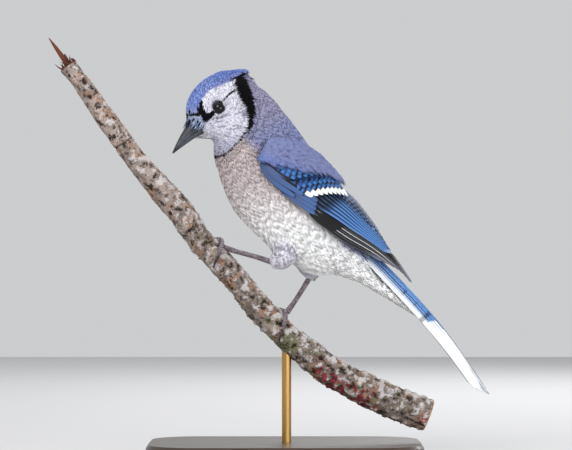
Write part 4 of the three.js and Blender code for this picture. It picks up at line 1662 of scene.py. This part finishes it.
def vanes_mesh(name: str, vanes: list[Vane], turned: bool = False) -> bpy.types.Mesh:
    """One mesh of many vanes, each a strip in the bake map.

    Args:
        name: The mesh's name.
        vanes: The feathers.
        turned: Whether to mirror them to the right side.

    Returns:
        The mesh with markings, vane coordinates and the bake map.
    """
    points, faces, colours, flats, strips = [], [], [], [], []
    first = 0
    for k, vane in enumerate(vanes):
        p, f, c, flat = vane.grid()
        if turned:
            p = p * [1, -1, 1]
            f = f[:, ::-1]
        points.append(p)
        faces.append(f + first)
        colours.append(c)
        flats.append(flat)
        columns = vane.columns
        top = np.tile(np.arange(2 * columns) < columns, len(p) // (2 * columns))
        u = (2 * k + 0.5 + (~top) + 0.42 * flat[:, 0]) / (2 * len(vanes))
        strips.append(np.stack([u, 0.01 + 0.98 * flat[:, 1] / vane.length], 1))
        first += len(p)
    mesh = mesh_from(name, np.concatenate(points), np.concatenate(faces))
    bm = bmesh.new()
    bm.from_mesh(mesh)
    volume = bm.calc_volume(signed=True)
    bm.free()
    if volume < 0:
        mesh.flip_normals()
    store_colours(mesh, np.concatenate(colours))
    store_map(mesh, BAKE_MAP, np.concatenate(strips))
    store_map(mesh, VANE_MAP, np.concatenate(flats))
    shade_round(mesh)
    return mesh


@dataclass
class Wing:
    """A folded wing: flight feathers and coverts over the same surface as the solids."""

    lower: list = field(default_factory=lambda: [
        [-18.5, -24.6, 190.5], [-7, -28.4, 175], [9.5, -30, 161.5], [23.5, -28, 151.3],
        [38.5, -22.5, 141], [57.5, -14.5, 130.8], [73.5, -9.5, 119.3], [80.6, -7, 112.5]])
    upper: list = field(default_factory=lambda: [
        [-12, -22.5, 203], [4, -18.5, 203], [21, -10.5, 193], [33.5, -5, 180],
        [45.4, -3.4, 165.5], [58.2, -2.8, 148.3], [67.6, -2.8, 133.2], [80, -4.6, 115.4]])
    bulge: list = field(default_factory=lambda: [[v] for v in (2.2, 4.6, 5.4, 5, 4, 2.6, 1.4, 0.5)])
    tiers: list = field(default_factory=lambda: [
        (VaneKind.PRIMARY, 7, (2.4, 0.03, 2.6, 0.22), (5.3, 0.04, 7, 0.5), 6.2, 0.2),
        (VaneKind.SECONDARY, 8, (2.2, 0.22, 2.8, 0.74), (5.5, 0.45, 6.1, 0.88), 8.0, 0.5),
        (VaneKind.TERTIAL, 3, (2.8, 0.7, 3, 0.92), (4.9, 0.8, 5.6, 0.96), 8, 0.9),
        (VaneKind.PRIMARY_COVERT, 4, (1.1, 0.06, 1.2, 0.2), (2.62, 0.07, 2.5, 0.26), 5.0, 0.8),
        (VaneKind.GREATER, 9, (1.4, 0.28, 2.4, 0.92), (2.24, 0.26, 3.5, 0.78), 5.2, 1.1),
        (VaneKind.PRIMARY_COVERT, 2, (0.2, 0.08, 0.2, 0.16), (1.75, 0.1, 1.96, 0.2), 5.0, 1.2),
        (VaneKind.MEDIAN, 9, (0.8, 0.36, 1.9, 0.92), (1.6, 0.36, 2.8, 0.95), 5.4, 1.4),
        (VaneKind.LESSER, 8, (0.4, 0.4, 1.4, 0.92), (1.1, 0.4, 2.1, 0.94), 5.4, 1.5)])
    sink: float = 1.2
    overlap: float = 0.045

    def surface(self, s: np.ndarray, t: np.ndarray) -> np.ndarray:
        """Points of the folded left wing.

        Args:
            s: Places from 0 to 7 along it, one for each row of its edges.
            t: Places from 0 to 1 up it.

        Returns:
            Points in millimetres.
        """
        low, high = Course(self.lower).at(s / 7), Course(self.upper).at(s / 7)
        flow = Course(self.lower).at(s / 7 + 0.02) - Course(self.lower).at(s / 7 - 0.02)
        chord = high - low
        out = unit(np.cross(flow, chord))
        out = np.where(out[..., 1:2] > 0, -out, out)
        swell = Course(self.bulge).at(s / 7) * np.sin(np.pi * t)[..., None]
        return low + chord * t[..., None] + out * swell

    def at(self, s: np.ndarray, t: np.ndarray, lift: np.ndarray) -> tuple[np.ndarray, np.ndarray]:
        """Lifted point and outward normal.

        Args:
            s: Places along the wing.
            t: Places up it.
            lift: Heights above its surface, in millimetres.

        Returns:
            Points and normals.
        """
        ds = self.surface(s + 0.08, t) - self.surface(s - 0.08, t)
        dt = self.surface(s, t + 0.03) - self.surface(s, t - 0.03)
        up = unit(np.cross(ds, dt))
        up = np.where(up[..., 1:2] > 0, -up, up)
        return self.surface(s, t) + up * np.reshape(lift, (-1, 1)), up

    def vanes(self) -> list[Vane]:
        """All the feathers of the left wing, from the longest to the smallest.

        Returns:
            The feathers.
        """
        made = []
        for kind, count, root, tip, width, lift in self.tiers:
            (root, root_last), (tip, tip_last) = np.reshape(root, (2, 2)), np.reshape(tip, (2, 2))
            for k in range(count):
                share = k / max(count - 1, 1)
                place = partial(self.shaft, root=root + (root_last - root) * share,
                                tip=tip + (tip_last - tip) * share, high=lift + self.overlap * k)
                ends, _ = place(np.linspace(0, 1, 8))
                length = np.linalg.norm(np.diff(ends, axis=0), axis=1).sum()
                made.append(Vane(kind, place, width, length, share))
        return made

    def shaft(self, t: np.ndarray, root: np.ndarray, tip: np.ndarray,
              high: float) -> tuple[np.ndarray, np.ndarray]:
        """Shaft of a feather over the wing's surface.

        Args:
            t: Shares of the feather's length.
            root: Place of its root on the surface, along the wing and up it.
            tip: Place of its tip.
            high: How far it lies above the surface, in millimetres.

        Returns:
            Points and outward normals.
        """
        rise = -self.sink + (high + self.sink) * smooth(-0.1, 0.4, t)
        return self.at(root[0] + (tip[0] - root[0]) * t, root[1] + (tip[1] - root[1]) * t, rise)

    def build(self) -> None:
        """Builds both wings."""
        finish = VaneFinish().material()
        for side, turned in (("left", False), ("right", True)):
            mesh = vanes_mesh(f"Wing_{side}", self.vanes(), turned)
            piece = mesh_object(f"Wing_{side}", mesh, finish)
            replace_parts(piece, f"wing_{side}")
            log.info("%s: %d faces", piece.name, len(mesh.polygons))


@dataclass
class Tail:
    """Twelve tail feathers in a narrow fold, the middle pair on top."""

    line: list = field(default_factory=lambda: [
        [46, 141.5], [56, 133.3], [73.6, 115.6], [93, 95], [112, 71.5], [131.3, 43.4]])
    pairs: int = 6
    width: float = 13.0
    step_out: float = 1.7
    step_down: float = 0.85
    roll: float = 11.0
    shorten: float = 0.012
    narrow: float = 0.8
    length: float = 131.0

    def vanes(self) -> list[Vane]:
        """The feathers, from the middle pair outwards.

        Returns:
            The feathers.
        """
        made = []
        for k in range(self.pairs):
            reach = 1 - self.shorten * k
            for side in (-1, 1):
                place = partial(self.shaft, k=k, side=side, reach=reach)
                made.append(Vane(VaneKind.TAIL, place, self.width - self.narrow * k, self.length * reach,
                                 k / (self.pairs - 1), outer=0.5, tilt=0.0, hand=-side))
        return made

    def shaft(self, t: np.ndarray, k: int, side: int, reach: float) -> tuple[np.ndarray, np.ndarray]:
        """Shaft of one feather.

        Args:
            t: Shares of the feather's length.
            k: Its pair, from 0 in the middle.
            side: Its side, -1 for left or 1 for right.
            reach: Its length as a share of the longest.

        Returns:
            Points and outward normals.
        """
        course = Course(self.line)
        roll = math.radians(self.roll * k + 8) * side
        p = course.at(t * reach)
        f = unit(course.at(t * reach + 0.01) - course.at(t * reach - 0.01))
        up = np.stack([-f[:, 1], np.zeros(len(t)), f[:, 0]], 1)
        normal = up * math.cos(roll) + np.array([0, math.sin(roll), 0])
        drop = self.step_down * k * (0.5 + 0.5 * t) + 1
        out = side * (1.9 + self.step_out * k * (0.35 + 0.65 * t))
        return np.stack([p[:, 0], out, p[:, 1]], 1) - up * drop[:, None], normal

    def build(self) -> None:
        """Builds the tail."""
        mesh = vanes_mesh("Tail_Feathers", self.vanes())
        piece = mesh_object("Tail_Feathers", mesh, VaneFinish().material())
        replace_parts(piece, "tail")
        log.info("%s: %d faces", piece.name, len(mesh.polygons))


def dress(node: str, material: bpy.types.Material, smooth_shade: bool = False) -> None:
    """Gives a CAD node its finish.

    Args:
        node: The node's name.
        material: The finish.
        smooth_shade: Whether its faces are shaded smooth.
    """
    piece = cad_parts[node]
    piece.data.materials.clear()
    piece.data.materials.append(material)
    if smooth_shade:
        shade_round(piece.data)


@dataclass
class Legs:
    """Bare legs, toes and claws."""

    def build(self) -> None:
        """Dresses the legs."""
        scales = ScaleFinish().material()
        claws = HornFinish("Dark_Claws", (0.05, 0.045, 0.05), (0.2, 0.18, 0.19), 0.3).material()
        for side in ("left", "right"):
            for part in ("shank", "foot"):
                dress(f"{part}_{side}", scales, True)
            for k in range(1, 5):
                dress(f"claw_{side}_{k}", claws, True)


@dataclass
class Perch:
    """The cut branch under its bark and lichen, and its torn end."""

    voxel: float = 0.62
    torn: tuple = (-139.0, 2.0, 253.0)
    torn_way: tuple = (-15.0, 1.0, 20.0)
    cut: tuple = (92.0, 1.0, 28.5)
    cut_way: tuple = (30.0, 0.5, -12.0)
    crack: tuple = (-103.0, 0.0, 203.4)
    crack_way: tuple = (0.56, 0.0, -0.83)
    olive_spot: tuple = (2.0, 75.0)
    grips: tuple = ((-44.0, 131.5), (-2.0, 82.0))
    knots: tuple = ((-67.2, 143.2, 2.9), (-128.0, 243.0, 2.6))
    pale_bark: tuple = (0.62, 0.56, 0.53)
    rough_bark: tuple = (0.5, 0.45, 0.42)
    tan: tuple = (0.6, 0.46, 0.38)
    soot: tuple = (0.21, 0.18, 0.17)
    olive_stain: tuple = (0.41, 0.42, 0.3)
    olive_patch: tuple = (0.43, 0.43, 0.31)
    crust: tuple = (0.8, 0.78, 0.78)
    # near-black of the pits: painted shade
    shaded_pit: tuple = (0.07, 0.06, 0.06)
    red: tuple = (0.5, 0.15, 0.19)
    yellow: tuple = (0.78, 0.56, 0.1)
    # dark inside the knots: their own dark wood and painted shade in the hollows
    knot: tuple = (0.09, 0.06, 0.05)
    # dark along the crack: painted shade
    crack_shade: tuple = (0.16, 0.12, 0.11)
    cut_wood: tuple = (0.7, 0.56, 0.4)
    torn_wood: tuple = (0.33, 0.16, 0.1)

    @staticmethod
    def field(points: np.ndarray, scale: float, start: float, octaves: int = 4) -> np.ndarray:
        """Cloudy noise about zero, with a spread of 0.3.

        Args:
            points: Places in millimetres.
            scale: Patches for each millimetre.
            start: A shift that gives each field its own pattern.
            octaves: How many finer layers it has.

        Returns:
            One value a point.
        """
        places = (points * scale + start).tolist()
        cloud = np.array([noise.fractal(Vector(place), 1.0, 2.1, octaves) for place in places])
        return (cloud - cloud.mean()) / cloud.std() * 0.3

    def bark(self, points: np.ndarray, normals: np.ndarray) -> tuple[np.ndarray, np.ndarray]:
        """Relief and paint of the bark, with painted shade in its pits, along its crack and in the hollows of
        its knots.

        Args:
            points: Places on the branch, in millimetres.
            normals: Its normals there.

        Returns:
            Heights in millimetres, and linear colours.
        """
        x, side = points[:, 0], points[:, [0, 2]]
        rough = smooth(-135, 20, x)
        broad, middle = self.field(points, 0.11, 3), self.field(points, 0.22, 31)
        patch, spots = self.field(points, 0.13, 77, 3), self.field(points, 0.3, 55, 4)
        fine = self.field(points, 1.3, 11, 3)
        upward = 0.3 * np.clip(normals[:, 2], -0.3, 1)
        crust = smooth(0.28, 0.42, middle + upward + 0.1 * (rough - 0.5) + 0.4 * fine)
        # near-black paint in the pits, painted shade in the hollows
        shaded_pit = smooth(-0.36, -0.5, middle + 0.4 * fine)
        height = 0.35 * broad + (0.3 + 0.4 * rough) * middle + 0.22 * fine * (0.4 + 0.6 * rough)
        height += 0.6 * crust * (0.4 + 0.6 * rough) - 0.5 * shaded_pit
        low = smooth(0.35, -0.2, normals[:, 2])
        reddened = smooth(17, 22, x) * smooth(62, 54, x) + smooth(84, 87, x)
        stained = np.linalg.norm(side - self.olive_spot, axis=1)
        tone = lay(linear(self.pale_bark), linear(self.rough_bark), rough)
        tone = tone * (1 + 0.5 * np.clip(broad, -0.8, 0.8))[:, None]
        layers = [
            (self.tan, smooth(0.2, 0.4, patch) * 0.7), (self.soot, smooth(0.24, 0.42, spots) * 0.75),
            (self.olive_stain, smooth(10, 4, stained) * 0.7),
            (self.olive_patch, smooth(0.34, 0.46, self.field(points, 0.16, 120, 3)) * 0.6 * rough),
            (self.crust, crust * 0.75), (self.shaded_pit, shaded_pit * 0.9),
            (self.red, smooth(0.02, 0.12, self.field(points, 0.34, 250, 2)) * reddened * low * 0.9),
            (self.yellow, smooth(0.74, 0.8, self.field(points, 0.4, 200, 2)) * (0.3 + 0.7 * low))]
        front = smooth(-2, -4, points[:, 1])
        for *spot, reach in self.knots:
            off = np.linalg.norm((side - spot) * [1.15, 0.85], axis=1)
            # dark inside each knot: its own dark wood and painted shade in its hollow
            layers.append((self.knot, smooth(reach, reach * 0.6, off) * front * 0.9))
            lip = 0.6 * smooth(1.4, 0.2, np.abs(off - reach))
            height += (lip - 1.1 * smooth(reach, reach * 0.4, off)) * front
        groove = np.abs((points - self.crack) @ self.crack_way)
        height -= 0.5 * smooth(1.0, 0.2, groove)
        for spot in self.grips:
            off = np.linalg.norm(side - spot, axis=1)
            height = np.minimum(height, 0.1 + 2 * smooth(10, 16, off))
        cut = smooth(-0.9, -0.4, (points - self.cut) @ unit(np.array(self.cut_way)))
        torn = smooth(-0.9, -0.4, (points - self.torn) @ unit(np.array(self.torn_way)))
        # the crack is painted dark, painted shade in it
        layers += [(self.crack_shade, smooth(0.8, 0.3, groove) * 0.7), (self.cut_wood, cut),
                   (self.torn_wood, torn)]
        height *= 1 - np.maximum(cut, 0.6 * torn)
        for paint, amount in layers:
            tone = lay(tone, linear(paint), amount)
        growth = 0.9 + 0.15 * np.sin(np.linalg.norm(points - self.cut, axis=1) * 5.5)
        tone *= (1 - cut + cut * growth)[:, None]
        return np.clip(height, -1.2, 1.1), np.clip(tone, 0, 1)

    def slivers(self, count: int = 26) -> bpy.types.Mesh:
        """Thin slivers of torn wood round the broken end, as one mesh.

        Args:
            count: How many there are.

        Returns:
            The mesh.
        """
        rng = np.random.default_rng(6)
        bm = bmesh.new()
        for _ in range(count):
            turn, out = rng.uniform(0, 2 * math.pi), rng.uniform(1.5, 5.2)
            around = np.array([math.cos(turn) * 0.8, math.sin(turn), math.cos(turn) * 0.6])
            root = np.array(self.torn) + out * around
            lean = unit(np.array([-0.55, 0, 0.8]) + rng.normal(0, 0.42, 3))
            side = unit(np.cross(lean, [0.3, 1, 0.2]))
            long, wide = rng.uniform(2.5, 8), rng.uniform(0.35, 0.9)
            turns = np.linspace(0, 2 * math.pi, 6)[:-1, None]
            flat = np.cross(lean, side) * 0.5
            ring = root - lean + (side * np.cos(turns) + flat * np.sin(turns)) * wide
            low = [bm.verts.new(Vector(point) * MM) for point in ring]
            bend = root + lean * long * 0.5 + rng.normal(0, 0.3, 3)
            high = [bm.verts.new(Vector(bend + (point - root + lean) * 0.6) * MM) for point in ring]
            tip = bm.verts.new(Vector(root + lean * long) * MM)
            bm.faces.new(low[::-1])
            for k in range(5):
                bm.faces.new((low[k - 1], low[k], high[k], high[k - 1]))
                bm.faces.new((high[k - 1], high[k], tip))
        return ended(bm, "Slivers", outward=True)

    def build(self) -> None:
        """Builds the branch and its torn end."""
        mesh = closed_copy("Branch", ("perch_branch",), 0.0, self.voxel, 6)
        points, normals = read_points(mesh)
        height, tone = self.bark(points, normals)
        move_points(mesh, points + normals * height[:, None])
        store_colours(mesh, tone)
        shade_round(mesh)
        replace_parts(mesh_object("Branch", mesh, BarkFinish().material()), "perch_branch")
        torn = WoodFinish("Torn_Wood", (0.2, 0.07, 0.04), (0.5, 0.25, 0.15), (1, 1, 0.2), 0.8).material()
        dress("perch_splinters", torn)
        mesh_object("Slivers", self.slivers(), torn)
        log.info("Branch: %d vertices", len(points))


@dataclass
class Stand:
    """The plain base and its brass rod."""

    def build(self) -> None:
        """Dresses the stand."""
        wood = WoodFinish("Dark_Base_Wood", (0.13, 0.085, 0.06), (0.25, 0.16, 0.11), (0.12, 1, 1), 0.4, 0.3)
        dress("stand_base", wood.material())
        dress("stand_rod", BrassFinish().material(), True)


@dataclass
class Studio:
    """Camera, soft lights and the pale floor."""

    pixel: float = 0.64
    columns: float = 572.0
    rows: float = 450.0
    zero_column: float = 285.0
    floor_row: float = 460.8
    lens: float = 200.0
    sensor: float = 36.0
    floor_half: float = 1.6
    aim: tuple = (0.0, 0.0, 0.15)
    surroundings: tuple = (0.86, 0.87, 0.88, 1.0)
    surroundings_strength: float = 0.7
    lights: tuple = (("Key", (-0.5, -0.9, 1.0), 0.7, 11.0, (1.0, 0.99, 0.97)),
                     ("Fill", (0.7, -1.0, 0.1), 0.9, 10.0, (0.97, 0.98, 1.0)),
                     ("Back", (0.4, 0.9, 0.8), 0.8, 8.0, (1.0, 1.0, 1.0)))

    def camera(self) -> None:
        """Places the camera level, at right angles to the bird, framed as the photograph is."""
        data = bpy.data.cameras.new("Camera")
        data.lens, data.sensor_width = self.lens, self.sensor
        span = self.pixel * self.columns
        away = span * self.lens / self.sensor
        x = (self.columns / 2 - self.zero_column) * self.pixel
        z = (self.floor_row - self.rows / 2) * self.pixel
        data.clip_start, data.clip_end = 0.05, 20
        piece = bpy.data.objects.new("Camera", data)
        piece.location = Vector((x, -away, z)) * MM
        piece.rotation_euler = (math.radians(90), 0, 0)
        bpy.context.scene.collection.objects.link(piece)
        bpy.context.scene.camera = piece

    def light(self, name: str, place: tuple, size: float, power: float, tint: tuple) -> None:
        """Adds one soft square light.

        Args:
            name: Its name.
            place: Where it stands, in metres.
            size: Its side, in metres.
            power: Its power in watts.
            tint: Its colour.
        """
        data = bpy.data.lights.new(name, "AREA")
        data.shape, data.size, data.energy, data.color = "SQUARE", size, power, tint
        piece = bpy.data.objects.new(name, data)
        piece.location = place
        piece.rotation_euler = (Vector(self.aim) - Vector(place)).to_track_quat("-Z", "Y").to_euler()
        bpy.context.scene.collection.objects.link(piece)

    def build(self) -> None:
        """Builds the camera, the floor, the lights and the soft surroundings."""
        self.camera()
        floor = bmesh.new()
        bmesh.ops.create_grid(floor, x_segments=2, y_segments=2, size=self.floor_half)
        mesh = ended(floor, "Floor")
        piece = bpy.data.objects.new("Floor", mesh)
        mesh.materials.append(FloorFinish().material())
        bpy.context.scene.collection.objects.link(piece)
        for light in self.lights:
            self.light(*light)
        world = bpy.data.worlds.new("Soft_World")
        world.use_nodes = True
        background = world.node_tree.nodes["Background"]
        background.inputs[0].default_value = self.surroundings
        background.inputs[1].default_value = self.surroundings_strength
        bpy.context.scene.world = world
        bpy.context.scene.view_settings.view_transform = "Standard"


def main() -> None:
    """Builds the studio and then the bird, its perch and its stand."""
    logging.basicConfig(level=logging.INFO, format="%(message)s")
    Studio().build()
    skin = Skin()
    skin.build()
    log.info("Skin: %d vertices", len(skin.points))
    Eyes().build()
    coat = Coat(skin, Bill().build())
    coat.build()
    for bristles in (NASAL, CHIN):
        coat.laid_forward(bristles)
    coat.crest()
    wing = Wing()
    coat.shoulder(wing)
    for part in (wing, Tail(), Legs(), Perch(), Stand()):
        part.build()
        log.info("%s done", type(part).__name__)


if __name__ == "__main__":
    main()
